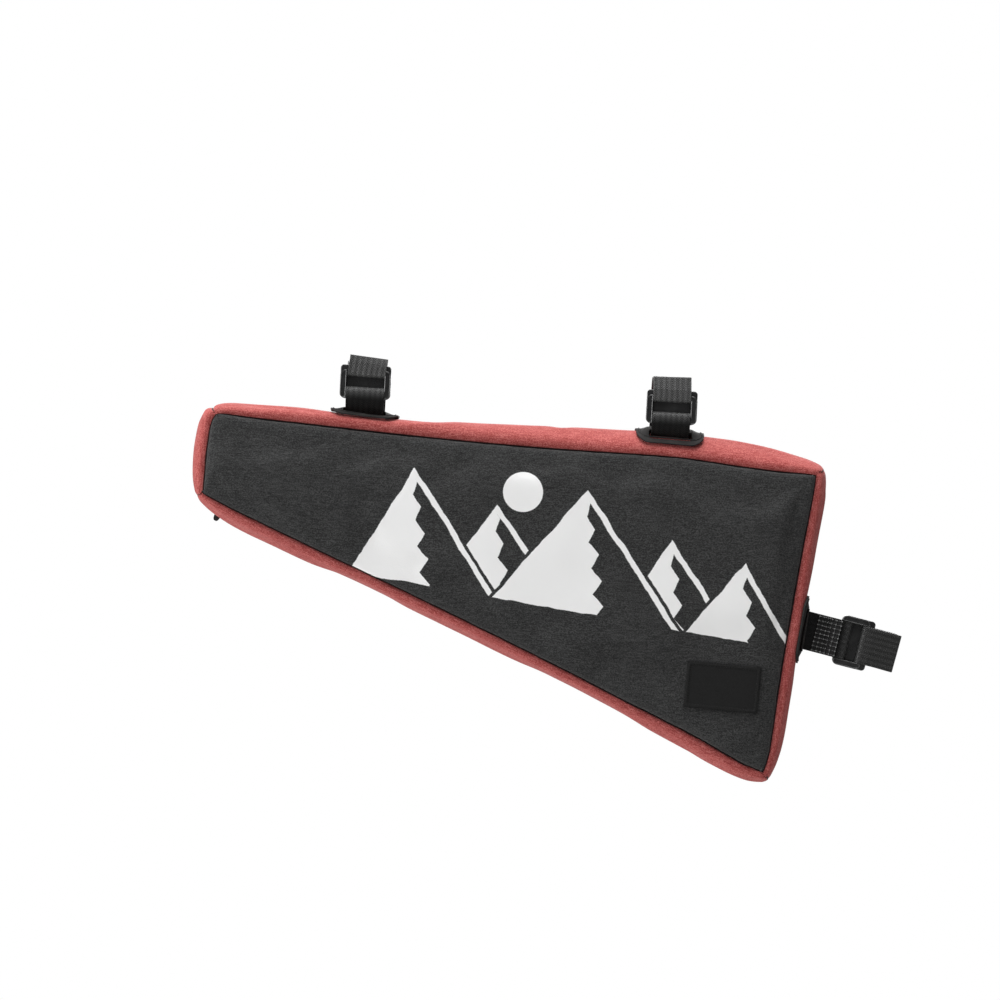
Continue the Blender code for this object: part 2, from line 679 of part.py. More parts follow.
# Strap: its middle line given a wall and a width along the axis. Low on the loop it tilts with the gusset
def strap_mesh(loop):
    line = strap_line(loop)
    fade_from, fade_to = loop.foot + 0.004, loop.foot + 0.012
    left, right = [], []
    for k, point in enumerate(line):
        before = (point - line[k - 1]).normalized() if k > 0 else None
        after = (line[k + 1] - point).normalized() if k < len(line) - 1 else None
        run = (before + after).normalized() if before and after else (before or after)
        spread = 1 / max(0.6, run.dot(after)) if before and after else 1.0
        normal = Vector((-run.y, run.x)) * STRAP_WALL / 2 * spread
        skin_rows = ([], [])
        for along in (-STRAP_WIDTH / 2, 0.0, STRAP_WIDTH / 2):
            hold = 1 - smooth_step((point.y - fade_from) / (fade_to - fade_from))
            reach = max(-SLOT_REACH, min(SLOT_REACH, point.x))
            tilt = hold * (loop.ground(along, reach) - loop.ground(0, reach)) if hold else 0.0
            if k == len(line) - 1:
                tilt = -along * math.tan(loop.tail_slant)
            for side, row in zip((1, -1), skin_rows):
                y, z = point + normal * side
                row.append(Vector((along, y, z + tilt)))
        left.append(skin_rows[0])
        right.append(skin_rows[1])
    return thick_sheet(f"{loop.name}_strap", left, right)


# Buckle: a rounded frame whose rails stand prouder than its bars, with a thin bar across the middle
def buckle_mesh():
    half_length, half_height = BUCKLE_LENGTH / 2, BUCKLE_HEIGHT / 2
    corner_steps = 4
    points, widths = [], []
    for quarter in range(4):
        for s in even_shares(corner_steps):
            turn = math.pi / 2 * (quarter + s)
            x = math.copysign(half_length - BUCKLE_CORNER, math.cos(math.pi / 2 * (quarter + 0.5)))
            z = math.copysign(half_height - BUCKLE_CORNER, math.sin(math.pi / 2 * (quarter + 0.5)))
            points.append((x + BUCKLE_CORNER * math.cos(turn), z + BUCKLE_CORNER * math.sin(turn)))
            widths.append((math.cos(turn), math.sin(turn)))
    verts, faces = [], []
    for (x, z), (cosine, sine) in zip(points, widths):
        rail = cosine * cosine
        inward = in_plane(-cosine, -sine)
        wide = RAIL_WIDTH * rail + BAR_HEIGHT * (1 - rail)
        deep = RAIL_DEPTH * rail + BAR_DEPTH * (1 - rail)
        cut = BUCKLE_CHAMFER
        outline = (
            (0.0, 0.5 - cut), (cut, 0.5), (1 - cut, 0.5), (1.0, 0.5 - cut),
            (1.0, cut - 0.5), (1 - cut, -0.5), (cut, -0.5), (0.0, cut - 0.5),
        )
        for in_share, out_share in outline:
            verts.append(in_plane(x, z) + inward * wide * in_share + Vector((0, deep * out_share, 0)))
    sides, stations = 8, len(points)
    for i in range(stations):
        for j in range(sides):
            a, b = i * sides, ((i + 1) % stations) * sides
            faces.append([a + j, b + j, b + (j + 1) % sides, a + (j + 1) % sides])
    frame = bpy.data.objects.new("buckle_frame", mesh_from("buckle", verts, faces))
    reach = half_length - RAIL_WIDTH / 2
    half_bar, half_deep = CENTRE_BAR_HEIGHT / 2, CENTRE_BAR_DEPTH / 2
    bar_mesh = thick_sheet(
        "centre_bar",
        [[Vector((x, -half_deep, z)) for z in (-half_bar, half_bar)] for x in (-reach, reach)],
        [[Vector((x, half_deep, z)) for z in (-half_bar, half_bar)] for x in (-reach, reach)],
    )
    bar = bpy.data.objects.new("centre_bar", bar_mesh)
    for obj in (frame, bar):
        bpy.context.scene.collection.objects.link(obj)
    union = frame.modifiers.new("centre bar", "BOOLEAN")
    union.operation = "UNION"
    union.object = bar
    graph = bpy.context.evaluated_depsgraph_get()
    joined = bpy.data.meshes.new_from_object(frame.evaluated_get(graph))
    for obj in (frame, bar):
        bpy.data.objects.remove(obj)
    return joined


def build():
    clear_scene()
    loops = make_loops()
    hang = (loops[0].centre + loops[1].centre) / 2
    bag = bpy.data.objects.new("bag", None)
    bpy.context.scene.collection.objects.link(bag)
    bag.location = -hang

    for strip in STRIPS.values():
        add_object(f"gusset_{strip.name}", gusset_mesh(strip), "band_fabric", bag)

    near = panel_mesh("near_panel", -1, whole_drops)
    upper = panel_mesh("far_panel_upper", 1, upper_drops)
    lower = panel_mesh("far_panel_lower", 1, lower_drops)
    for mesh in (near, upper, lower):
        add_object(mesh.name, mesh, "panel_fabric", bag)

    add_object("zip_tape", zip_tape_mesh(), "zip_nylon", bag)
    add_object("zip_slider", zip_slider_mesh(), "slider_metal", bag)
    add_object("zip_pull", zip_pull_mesh(), "patch_rubber", bag)
    add_object("label_patch", label_mesh(), "label_weave", bag)

    buckle = buckle_mesh()
    for loop in loops:
        frame = bpy.data.objects.new(f"{loop.name}_loop", None)
        bpy.context.scene.collection.objects.link(frame)
        frame.parent = bag
        frame.location = loop.centre
        frame.rotation_euler = (0, loop.turn, 0)
        add_object(f"{loop.name}_patch", patch_mesh(loop), "patch_rubber", frame)
        add_object(f"{loop.name}_strap", strap_mesh(loop), "webbing", frame)
        held = add_object(f"{loop.name}_buckle", buckle, "buckle_plastic", frame)
        behind = loop.half_width + LOOP_GAP + STRAP_WALL + BUCKLE_GAP + BAR_DEPTH / 2
        held.location = (0, -behind, loop.buckle_lift)


build()
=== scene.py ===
import json
import math

import bpy
import numpy as np
from mathutils import Matrix, Vector, noise
from mathutils.bvhtree import BVHTree
from mathutils.kdtree import KDTree


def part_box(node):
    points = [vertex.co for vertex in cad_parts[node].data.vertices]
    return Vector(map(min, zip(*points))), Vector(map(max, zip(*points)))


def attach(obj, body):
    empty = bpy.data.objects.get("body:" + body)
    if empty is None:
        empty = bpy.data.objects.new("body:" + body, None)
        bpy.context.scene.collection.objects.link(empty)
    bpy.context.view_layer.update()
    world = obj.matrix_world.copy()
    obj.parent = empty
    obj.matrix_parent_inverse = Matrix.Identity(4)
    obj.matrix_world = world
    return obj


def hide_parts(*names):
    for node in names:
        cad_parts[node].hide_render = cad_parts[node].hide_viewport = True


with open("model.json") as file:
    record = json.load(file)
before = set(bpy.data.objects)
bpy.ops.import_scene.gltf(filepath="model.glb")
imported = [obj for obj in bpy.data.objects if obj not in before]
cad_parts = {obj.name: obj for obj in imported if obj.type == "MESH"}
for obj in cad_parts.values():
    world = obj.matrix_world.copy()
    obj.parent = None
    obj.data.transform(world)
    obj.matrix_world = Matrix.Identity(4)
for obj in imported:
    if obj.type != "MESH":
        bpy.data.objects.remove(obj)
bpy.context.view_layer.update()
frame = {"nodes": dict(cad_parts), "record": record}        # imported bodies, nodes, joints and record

mm = 0.001


# Selection and edit mode

def solo(piece):
    bpy.ops.object.select_all(action="DESELECT")
    piece.select_set(True)
    bpy.context.view_layer.objects.active = piece


def startEdit(piece, mode="FACE", action="DESELECT"):
    solo(piece)
    bpy.ops.object.mode_set(mode="EDIT")
    bpy.ops.mesh.select_mode(type=mode)
    bpy.ops.mesh.select_all(action=action)


def endEdit():
    bpy.ops.object.mode_set(mode="OBJECT")


def settle(piece):  # puts a piece's place into its mesh
    solo(piece)
    bpy.ops.object.transform_apply(location=True, rotation=True, scale=True)
    return piece


def smooth(piece, degrees=35):
    solo(piece)
    bpy.ops.object.shade_smooth_by_angle(angle=math.radians(degrees))
    return piece


def modify(piece, kind, **settings):
    solo(piece)
    bpy.ops.object.modifier_add(type=kind)
    modifier = piece.modifiers[-1]
    for key, value in settings.items():
        setattr(modifier, key, value)
    bpy.ops.object.modifier_apply(modifier=modifier.name)


def subdivide(piece, levels):
    modify(piece, "SUBSURF", levels=levels, render_levels=levels, boundary_smooth="PRESERVE_CORNERS")


def thicken(piece, wall, rounding, centred=False):
    modify(piece, "SOLIDIFY", thickness=wall, offset=0 if centred else -1)
    roundEdges(piece, rounding, 2, 60)


def roundEdges(piece, width, segments, degrees):
    startEdit(piece, "EDGE")
    bpy.ops.mesh.edges_select_sharp(sharpness=math.radians(degrees))
    bpy.ops.mesh.bevel(offset=width, segments=segments, affect="EDGES", clamp_overlap=True)
    endEdit()


def cut(piece, cutter):
    modify(piece, "BOOLEAN", operation="DIFFERENCE", solver="EXACT", object=cutter)
    bpy.data.objects.remove(cutter)


def joined(parts):
    solo(parts[0])
    for part in parts:
        part.select_set(True)
    bpy.ops.object.join()
    return parts[0]


def newObject(name, data):
    piece = bpy.data.objects.new(name, data)
    bpy.context.scene.collection.objects.link(piece)
    return piece


def copyOfNode(node, name, quads=True):
    piece = newObject(name, frame["nodes"][node].data.copy())
    piece.data.materials.clear()
    startEdit(piece, "FACE", "SELECT")
    bpy.ops.mesh.customdata_custom_splitnormals_clear()
    bpy.ops.mesh.remove_doubles(threshold=0.02 * mm)
    if quads:
        limit = math.radians(60)
        bpy.ops.mesh.tris_convert_to_quads(face_threshold=limit, shape_threshold=limit)
    endEdit()
    return piece


def dress(piece, material, slot, *nodes):
    piece.data.materials.clear()
    piece.data.materials.append(material)
    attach(piece, "root")
    if nodes:
        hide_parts(*nodes)
    return piece


def points(piece):
    flat = np.empty(len(piece.data.vertices) * 3)
    piece.data.vertices.foreach_get("co", flat)
    return flat.reshape(-1, 3)


def setPoints(piece, place):
    piece.data.vertices.foreach_set("co", np.asarray(place).ravel())
    piece.data.update()


def treeOf(piece):
    mesh = piece.data
    return BVHTree.FromPolygons([v.co for v in mesh.vertices], [p.vertices for p in mesh.polygons])


def ease(share):  # 0 to 1 with level ends
    return share * share * (3 - 2 * share)


def nodeMiddle(node):
    low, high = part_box(node)
    return (low + high) / 2


sides = ("front", "rear", "seat")
inward = Vector((0, 1, 0))  # from the near panel towards the far one


# Camera, stage and light

view = {
    "perPixel": 0.577 * mm,
    "originAt": (518.7, 394.5),
    "pixels": 1000,
    "plane": -28 * mm,
    "distance": 2.6,
    "sensor": 36.0,
}


def makeCamera():
    across = (view["pixels"] / 2 - view["originAt"][0]) * view["perPixel"]
    up = (view["originAt"][1] - view["pixels"] / 2) * view["perPixel"]
    place = (across, view["plane"] - view["distance"], up)
    bpy.ops.object.camera_add(location=place, rotation=(math.radians(90), 0, 0))
    camera = bpy.context.object
    camera.data.sensor_width = view["sensor"]
    camera.data.lens = view["sensor"] * view["distance"] / (view["perPixel"] * view["pixels"])
    camera.data.clip_end = 50
    bpy.context.scene.camera = camera


stage = {
    "floorDrop": 1.2,
    "floorSize": 9.0,
    "floorColour": (0.70, 0.70, 0.69, 1),
    "floorRoughness": 0.8,
    "skyColour": (1.0, 1.0, 1.0, 1),
    "skySeen": 1.0,
    "skyLight": 0.19,
    "aim": (0, 0, -0.1),
    "lamps": {
        "top": {"at": (0.1, 0.35, 2.2), "size": 1.6, "power": 52},
        "key": {"at": (0.1, -0.9, 2.1), "size": 1.4, "power": 42},
        "side": {"at": (-2.2, -0.6, 0.3), "size": 1.2, "power": 47},
        "back": {"at": (0.5, 2.3, 0.7), "size": 1.4, "power": 36},
    },
}


def makeStage():
    bpy.ops.mesh.primitive_plane_add(size=stage["floorSize"], location=(0, 0, -stage["floorDrop"]))
    floor = bpy.context.object
    floor.name = "studioFloor"
    finish, tree, shader = newMaterial("studioFloor", stage["floorRoughness"])
    setSockets(tree, shader, {
        "Base Color": stage["floorColour"],
        "Emission Color": stage["floorColour"],
        "Emission Strength": put(tree, "LightPath").outputs["Is Camera Ray"],
    })
    floor.data.materials.append(finish)
    world = bpy.data.worlds.new("studio")
    bpy.context.scene.world = world
    world.use_nodes = True
    tree = world.node_tree
    sky = tree.nodes["Background"]
    setSockets(tree, sky, {"Color": stage["skyColour"], "Strength": stage["skyLight"]})
    seen = put(tree, "Background", {"Color": stage["skyColour"], "Strength": stage["skySeen"]})
    which = put(tree, "MixShader", {
        0: put(tree, "LightPath").outputs["Is Camera Ray"],
        1: sky.outputs[0],
        2: seen.outputs[0],
    })
    setSockets(tree, tree.nodes["World Output"], {0: which.outputs[0]})
    for name, lamp in stage["lamps"].items():
        place = Vector(lamp["at"])
        aim = (Vector(stage["aim"]) - place).to_track_quat("-Z", "Y").to_euler()
        bpy.ops.object.light_add(type="AREA", location=place, rotation=aim)
        light = bpy.context.object
        light.name = name + "Light"
        light.data.size = lamp["size"]
        light.data.energy = lamp["power"]
    bpy.context.scene.view_settings.view_transform = "Standard"
    print("stage set")


# Shader helpers

def setSockets(tree, node, values):  # a value that is a socket itself is linked
    for socket, value in values.items():
        if isinstance(value, bpy.types.NodeSocket):
            tree.links.new(value, node.inputs[socket])
        else:
            node.inputs[socket].default_value = value


def put(tree, kind, values=None, **settings):
    made = tree.nodes.new("ShaderNode" + kind)
    for key, value in settings.items():
        setattr(made, key, value)
    setSockets(tree, made, values or {})
    return made


def calc(tree, operation, first, second=0.0, third=0.0):
    return put(tree, "Math", {0: first, 1: second, 2: third}, operation=operation).outputs[0]


def turn(tree, operation, first, second=None, scale=None):
    given = ((0, first), (1, second), ("Scale", scale))
    values = {socket: value for socket, value in given if value is not None}
    made = put(tree, "VectorMath", values, operation=operation)
    return made.outputs["Value" if operation in ("DOT_PRODUCT", "LENGTH") else "Vector"]


def wave(tree, value, pitch, operation="SINE"):
    return calc(tree, operation, calc(tree, "MULTIPLY", value, 2 * math.pi / pitch))


def remap(tree, value, low, high, first=0.0, last=1.0, **settings):  # low becomes first, high last
    return put(tree, "MapRange", {0: value, 1: low, 2: high, 3: first, 4: last}, **settings).outputs[0]


def noiseAt(tree, place, scale, detail, roughness=0.5, output=0):
    values = {"Vector": place, "Scale": scale, "Detail": detail, "Roughness": roughness}
    return put(tree, "TexNoise", values).outputs[output]


def partsOf(tree, vector):
    return put(tree, "SeparateXYZ", {0: vector}).outputs


def objectPlace(tree):
    return put(tree, "TexCoord").outputs["Object"]


def grey(level):
    return (level, level, level, 1)


def blendColours(tree, factor, first, second):
    return put(tree, "Mix", {0: factor, 6: first, 7: second}, data_type="RGBA", clamp_factor=True).outputs[2]


def openGroup(name, inputs, outputs):
    group = bpy.data.node_groups.new(name, "ShaderNodeTree")
    for title, kind, value in inputs:
        socket = group.interface.new_socket(name=title, in_out="INPUT", socket_type="NodeSocket" + kind)
        socket.default_value = value
    for title, kind in outputs:
        group.interface.new_socket(name=title, in_out="OUTPUT", socket_type="NodeSocket" + kind)
    return group, group.nodes.new("NodeGroupInput").outputs, group.nodes.new("NodeGroupOutput")


def newMaterial(name, roughness, sheen=0.0, specular=0.5):
    material = bpy.data.materials.new(name)
    material.use_nodes = True
    tree = material.node_tree
    shader = tree.nodes["Principled BSDF"]
    setSockets(tree, shader, {
        "Roughness": roughness,
        "Sheen Weight": sheen,
        "Sheen Roughness": 0.5,
        "Specular IOR Level": specular,
    })
    return material, tree, shader


def coat(tree, shader, colour, height, distance):  # the shader's colour, and its bump from height
    bump = put(tree, "Bump", {"Height": height, "Strength": 1.0, "Distance": distance})
    setSockets(tree, shader, {"Base Color": colour, "Normal": bump.outputs[0]})


def fibreMaterial(name, roughness, fibre, dark, light, bump):  # fibre is (scale, detail, roughness)
    material, tree, shader = newMaterial(name, roughness, 0.1, 0.2)
    fibres = noiseAt(tree, objectPlace(tree), *fibre)
    coat(tree, shader, blendColours(tree, fibres, dark, light), fibres, bump)
    return material


# Heathered cloth: streaky mixed yarns in a fine plain weave

def makeHeatherGroup():
    group, given, end = openGroup(
        "heatheredCloth",
        (
            ("Vector", "Vector", (0, 0, 0)),
            ("Dark", "Color", (0, 0, 0, 1)),
            ("Body", "Color", (0.5, 0.5, 0.5, 1)),
            ("Light", "Color", (1, 1, 1, 1)),
        ),
        (("Color", "Color"), ("Height", "Float")),
    )
    place = given["Vector"]
    streaks = noiseAt(group, turn(group, "MULTIPLY", place, (190, 1350, 1350)), 1.0, 3.0, 0.6)
    specks = noiseAt(group, turn(group, "MULTIPLY", place, (1300, 2300, 2300)), 1.0, 2.0, 0.6)
    clouds = noiseAt(group, turn(group, "MULTIPLY", place, (40, 75, 75)), 1.0, 3.0)
    mixed = calc(group, "MULTIPLY_ADD", streaks, 0.32, calc(group, "MULTIPLY", specks, 0.68))
    mixed = calc(group, "MULTIPLY_ADD", calc(group, "SUBTRACT", clouds, 0.5), 0.09, mixed)
    lightYarn = remap(group, mixed, 0.50, 0.60)
    darkYarn = remap(group, mixed, 0.50, 0.40)
    colour = blendColours(group, lightYarn, given["Body"], given["Light"])
    colour = blendColours(group, darkYarn, colour, given["Dark"])
    threads = turn(group, "MULTIPLY", place, (9000, 9000, 9000))
    x, y, z = partsOf(group, threads)
    weave = calc(group, "MULTIPLY", calc(group, "SINE", x), calc(group, "SINE", calc(group, "ADD", z, y)))
    height = calc(group, "MULTIPLY_ADD", weave, 0.25, calc(group, "MULTIPLY", mixed, 0.9))
    setSockets(group, end, {"Color": colour, "Height": height})
    return group


def clothMaterial(name, heather, look, slope):
    material, tree, shader = newMaterial(name, look["roughness"], look["sheen"], 0.22)
    where = objectPlace(tree)
    along = put(tree, "Mapping", {"Vector": where, "Rotation": (0, math.radians(slope), 0)}).outputs[0]
    dark, body, light = look["colours"]
    values = {"Vector": along, "Dark": dark, "Body": body, "Light": light}
    cloth = put(tree, "Group", values, node_tree=heather)
    coat(tree, shader, cloth.outputs["Color"], cloth.outputs["Height"], 0.12 * mm)
    return material, tree, shader, cloth, where


# White print on the near panel: peaks in the picture's pixels, from the back to the front, and a low sun

motif = {
    "peaks": (  # top, left foot, right foot
        ((497, 505), (418, 612), (572, 612)),
        ((672, 540), (604, 640), (742, 650)),
        ((415, 468), (350, 570), (500, 604)),
        ((588, 490), (484, 606), (690, 648)),
        ((745, 563), (672, 648), (806, 672)),
    ),
    "slopeWidth": 3.0 * mm,
    "ridgeShare": 0.08,
    "ridgeBite": 4.6 * mm,
    "ridgePitch": 15.0 * mm,
    "ridgeGrowth": (45 * mm, 0.55, 1.25),
    "gap": 2.0 * mm,
    "sun": (523, 492),
    "sunRadius": 11.5 * mm,
    "foot": ((350, 572), (800, 652)),
    "wander": 1.6 * mm,
    "ragged": 0.5 * mm,
    "edge": 0.12 * mm,
    "ink": (0.93, 0.93, 0.93, 1),
}


def fromPixel(pixel):
    return Vector((
        (pixel[0] - view["originAt"][0]) * view["perPixel"],
        0,
        (view["originAt"][1] - pixel[1]) * view["perPixel"],
    ))


def lineDistance(tree, place, first, second):  # below zero to the right of the way from first to second
    a, b = fromPixel(first), fromPixel(second)
    run = (b - a).normalized()
    outward = Vector((-run.z, 0, run.x))
    return turn(tree, "DOT_PRODUCT", turn(tree, "SUBTRACT", place, a), outward)


def makePrintGroup():
    group, given, end = openGroup(
        "printedMotif", (("Vector", "Vector", (0, 0, 0)), ("Weave", "Float", 0.5)), (("Mask", "Float"),)
    )
    flat = turn(group, "MULTIPLY", given["Vector"], (1, 0, 1))
    drift = noiseAt(group, flat, 60.0, 3.0, 0.55, output=1)
    drift = turn(group, "MULTIPLY", turn(group, "SUBTRACT", drift, (0.5, 0.5, 0.5)), (1, 0, 1))
    hand = turn(group, "ADD", flat, turn(group, "SCALE", drift, scale=2 * motif["wander"]))
    toSun = turn(group, "LENGTH", turn(group, "SUBTRACT", flat, fromPixel(motif["sun"])))
    shape = calc(group, "SUBTRACT", toSun, motif["sunRadius"])
    for top, left, right in motif["peaks"]:
        leftSlope = lineDistance(group, hand, left, top)
        rightSlope = lineDistance(group, hand, top, right)
        solid = calc(group, "MAXIMUM", leftSlope, rightSlope)
        fromTop = turn(group, "SUBTRACT", hand, fromPixel(top))
        across, _, up = partsOf(group, fromTop)
        drop = calc(group, "MULTIPLY", up, -1)
        zigzag = calc(group, "PINGPONG", drop, motif["ridgePitch"] / 2)
        zigzag = calc(group, "MULTIPLY", zigzag, 2 * motif["ridgeBite"] / motif["ridgePitch"])
        zigzag = calc(group, "MULTIPLY", zigzag, remap(group, drop, 0.0, *motif["ridgeGrowth"]))
        ridge = calc(group, "MULTIPLY_ADD", drop, -motif["ridgeShare"], across)
        ridge = calc(group, "SUBTRACT", ridge, calc(group, "SUBTRACT", zigzag, motif["ridgeBite"] / 2))
        edge = calc(group, "MULTIPLY", calc(group, "ADD", rightSlope, motif["slopeWidth"]), -1)
        ink = calc(group, "MAXIMUM", solid, calc(group, "MINIMUM", ridge, edge))
        clear = calc(group, "SUBTRACT", motif["gap"], solid)
        shape = calc(group, "MINIMUM", calc(group, "MAXIMUM", shape, clear), ink)
    foot = lineDistance(group, hand, *motif["foot"])
    shape = calc(group, "MAXIMUM", shape, calc(group, "MULTIPLY", foot, -1))
    weave = calc(group, "SUBTRACT", given["Weave"], 0.5)
    ragged = calc(group, "MULTIPLY_ADD", weave, motif["ragged"], shape)
    setSockets(group, end, {"Mask": remap(group, ragged, motif["edge"], -motif["edge"])})
    return group


cloths = {
    "panel": {
        "colours": ((0.012, 0.012, 0.0122, 1), (0.0285, 0.0287, 0.029, 1), (0.058, 0.0585, 0.0585, 1)),
        "roughness": 0.82,
        "sheen": 0.12,
        "slope": -1.5,
    },
    "band": {
        "colours": ((0.26, 0.040, 0.037, 1), (0.39, 0.079, 0.073, 1), (0.53, 0.155, 0.140, 1)),
        "roughness": 0.88,
        "sheen": 0.06,
        "slopes": {"top": -4, "rear": 80, "bottom": -26.5, "front": 81},
    },
    "inkRoughness": 0.5,
}


def makeCloths():
    heather = makeHeatherGroup()
    panel, band = cloths["panel"], cloths["band"]
    made = {"panel": clothMaterial("panelCloth", heather, panel, panel["slope"])[0]}
    made["print"], tree, shader, cloth, where = clothMaterial("printedCloth", heather, panel, panel["slope"])
    values = {"Vector": where, "Weave": cloth.outputs["Height"]}
    mask = put(tree, "Group", values, node_tree=makePrintGroup()).outputs["Mask"]
    setSockets(tree, shader, {
        "Base Color": blendColours(tree, mask, cloth.outputs["Color"], motif["ink"]),
        "Roughness": remap(tree, mask, 0.0, 1.0, panel["roughness"], cloths["inkRoughness"]),
    })
    for strip, slope in band["slopes"].items():
        made[strip] = clothMaterial(strip + "BandCloth", heather, band, slope)[0]
    dark, light = (0.008, 0.005, 0.005, 1), (0.075, 0.020, 0.019, 1)  # dark red of the seam groove, a painted shade
    made["cord"] = fibreMaterial("paintedSeamShade", 0.85, (1400.0, 3.0, 0.7), dark, light, 0.15 * mm)
    made["thread"] = fibreMaterial("sewingThread", 0.75, (3000.0, 1.0), grey(0.004), grey(0.018), 0.05 * mm)
    return made


# Webbing: herringbone columns along the strap, read from its own map in metres

webbing = {
    "columnHalf": 1.57 * mm,
    "twillPitch": 1.25 * mm,
    # front and rear pairs are the webbing's own dyes; the seat pair is the same webbing made much darker, a
    # painted shade
    "dyesAndSeatShade": {"front": (0.016, 0.080), "rear": (0.016, 0.088), "seat": (0.004, 0.009)},
    # painted shade on the run towards the bag: its grey, where it starts and ends, and how strong
    "shadeGrey": 0.004,
    "shadeFrom": -10 * mm,
    "shadeTo": -2.6 * mm,
    "shadeMost": 0.93,
}


def makeWebbing(side):  # the run towards the bag is painted darker, a painted shade
    dark, light = webbing["dyesAndSeatShade"][side]
    material, tree, shader = newMaterial(side + "Webbing", 0.45, 0.05, 0.6)
    across, along, _ = partsOf(tree, put(tree, "UVMap", uv_map="webbing").outputs[0])
    column = calc(tree, "PINGPONG", across, webbing["columnHalf"])
    twill = wave(tree, calc(tree, "ADD", along, column), webbing["twillPitch"])
    rib = wave(tree, across, 2 * webbing["columnHalf"], "COSINE")
    where = objectPlace(tree)
    yarn = noiseAt(tree, where, 1900.0, 2.0, 0.6)
    height = calc(tree, "MULTIPLY_ADD", twill, 0.45, calc(tree, "MULTIPLY", rib, 0.35))
    height = calc(tree, "MULTIPLY_ADD", yarn, 0.4, height)
    # the raised twill and ribs take the light colour: the weave's pattern, with a painted highlight on its
    # peaks
    colour = blendColours(tree, remap(tree, height, -0.4, 1.0), grey(dark), grey(light))
    offset = turn(tree, "SUBTRACT", where, nodeMiddle(side + "_buckle"))
    rise = turn(tree, "DOT_PRODUCT", offset, loopAxes(side)[1])
    # painted shade: the strap grows darker towards the bag, with less specular and more roughness there
    ends = (webbing["shadeFrom"], webbing["shadeTo"], webbing["shadeMost"], 0.0)
    paintedShade = remap(tree, rise, *ends, interpolation_type="SMOOTHSTEP")
    coat(tree, shader, blendColours(tree, paintedShade, colour, grey(webbing["shadeGrey"])), height, 0.18 * mm)
    setSockets(tree, shader, {
        "Roughness": calc(tree, "MULTIPLY_ADD", paintedShade, 0.4, 0.45),
        "Specular IOR Level": calc(tree, "MULTIPLY_ADD", paintedShade, -0.5, 0.6),
    })
    return material


# Moulded and sheet finishes: fine grain and cloudy wear

def makeGrainGroup():
    group, given, end = openGroup(
        "fineGrain",
        (
            ("Vector", "Vector", (0, 0, 0)),
            ("Grain size", "Float", 1500.0),
            ("Base", "Color", (0.02, 0.02, 0.02, 1)),
            ("Worn", "Color", (0.05, 0.05, 0.05, 1)),
        ),
        (("Color", "Color"), ("Height", "Float"), ("Roughness", "Float")),
    )
    place = given["Vector"]
    cells = put(group, "TexVoronoi", {"Vector": place, "Scale": given["Grain size"]})
    dust = noiseAt(group, place, 160.0, 4.0, 0.6)
    fine = noiseAt(group, place, 2600.0, 1.0)
    worn = remap(group, dust, 0.45, 0.75)
    setSockets(group, end, {
        "Color": blendColours(group, worn, given["Base"], given["Worn"]),
        "Height": calc(group, "MULTIPLY_ADD", cells.outputs[0], 0.7, calc(group, "MULTIPLY", fine, 0.3)),
        "Roughness": remap(group, dust, 0.3, 0.7, -0.06, 0.08),
    })
    return group


def grainMaterial(grain, name, size, base, worn, roughness, bump, specular=0.5):
    material, tree, shader = newMaterial(name, roughness, 0.0, specular)
    values = {"Vector": objectPlace(tree), "Grain size": size, "Base": base, "Worn": worn}
    surface = put(tree, "Group", values, node_tree=grain).outputs
    coat(tree, shader, surface["Color"], surface["Height"], bump)
    setSockets(tree, shader, {"Roughness": calc(tree, "ADD", surface["Roughness"], roughness)})
    return material


grainFinishes = (  # name, grain size, base, worn, roughness, bump, specular
    ("patchSheet", 2200.0, (0.022, 0.021, 0.021, 1), (0.042, 0.039, 0.038, 1), 0.75, 0.05 * mm, 0.15),
    ("buckleNylon", 3000.0, (0.013, 0.013, 0.0135, 1), grey(0.024), 0.3, 0.01 * mm),
    ("lacqueredSlider", 2500.0, grey(0.02), grey(0.05), 0.3, 0.01 * mm),
    ("coilNylon", 3000.0, (0.028, 0.028, 0.03, 1), (0.062, 0.062, 0.065, 1), 0.42, 0.02 * mm),
    # hook heads: the nylon made much lighter than the ribs, a painted glint
    ("hookNylonPaintedGlint", 3000.0, grey(0.10), grey(0.20), 0.25, 0.01 * mm),
    # a lighter copy of the buckle nylon for the cheek rims: painted highlight
    ("rimPaintedHighlight", 3000.0, grey(0.018), grey(0.036), 0.34, 0.005 * mm),
)


# Label weave: satin ribs across the label

def makeLabelWeave():
    material, tree, shader = newMaterial("labelWeave", 0.8, 0.05, 0.2)
    lean = (0, -math.radians(label["tilt"]), 0)
    tilted = put(tree, "Mapping", {"Vector": objectPlace(tree), "Rotation": lean}).outputs[0]
    across, _, up = partsOf(tree, tilted)
    ribs = calc(tree, "MULTIPLY", wave(tree, up, 0.42 * mm), wave(tree, across, 0.3 * mm))
    height = calc(tree, "MULTIPLY_ADD", ribs, 0.5, noiseAt(tree, tilted, 1800.0, 2.0))
    colour = blendColours(tree, remap(tree, height, 0.1, 0.9), (0.005, 0.005, 0.0052, 1), grey(0.015))
    coat(tree, shader, colour, height, 0.06 * mm)
    return material


# Soft shells: each cloth node's outer skin, puffed by cloth, sunk at its seams and given a wall

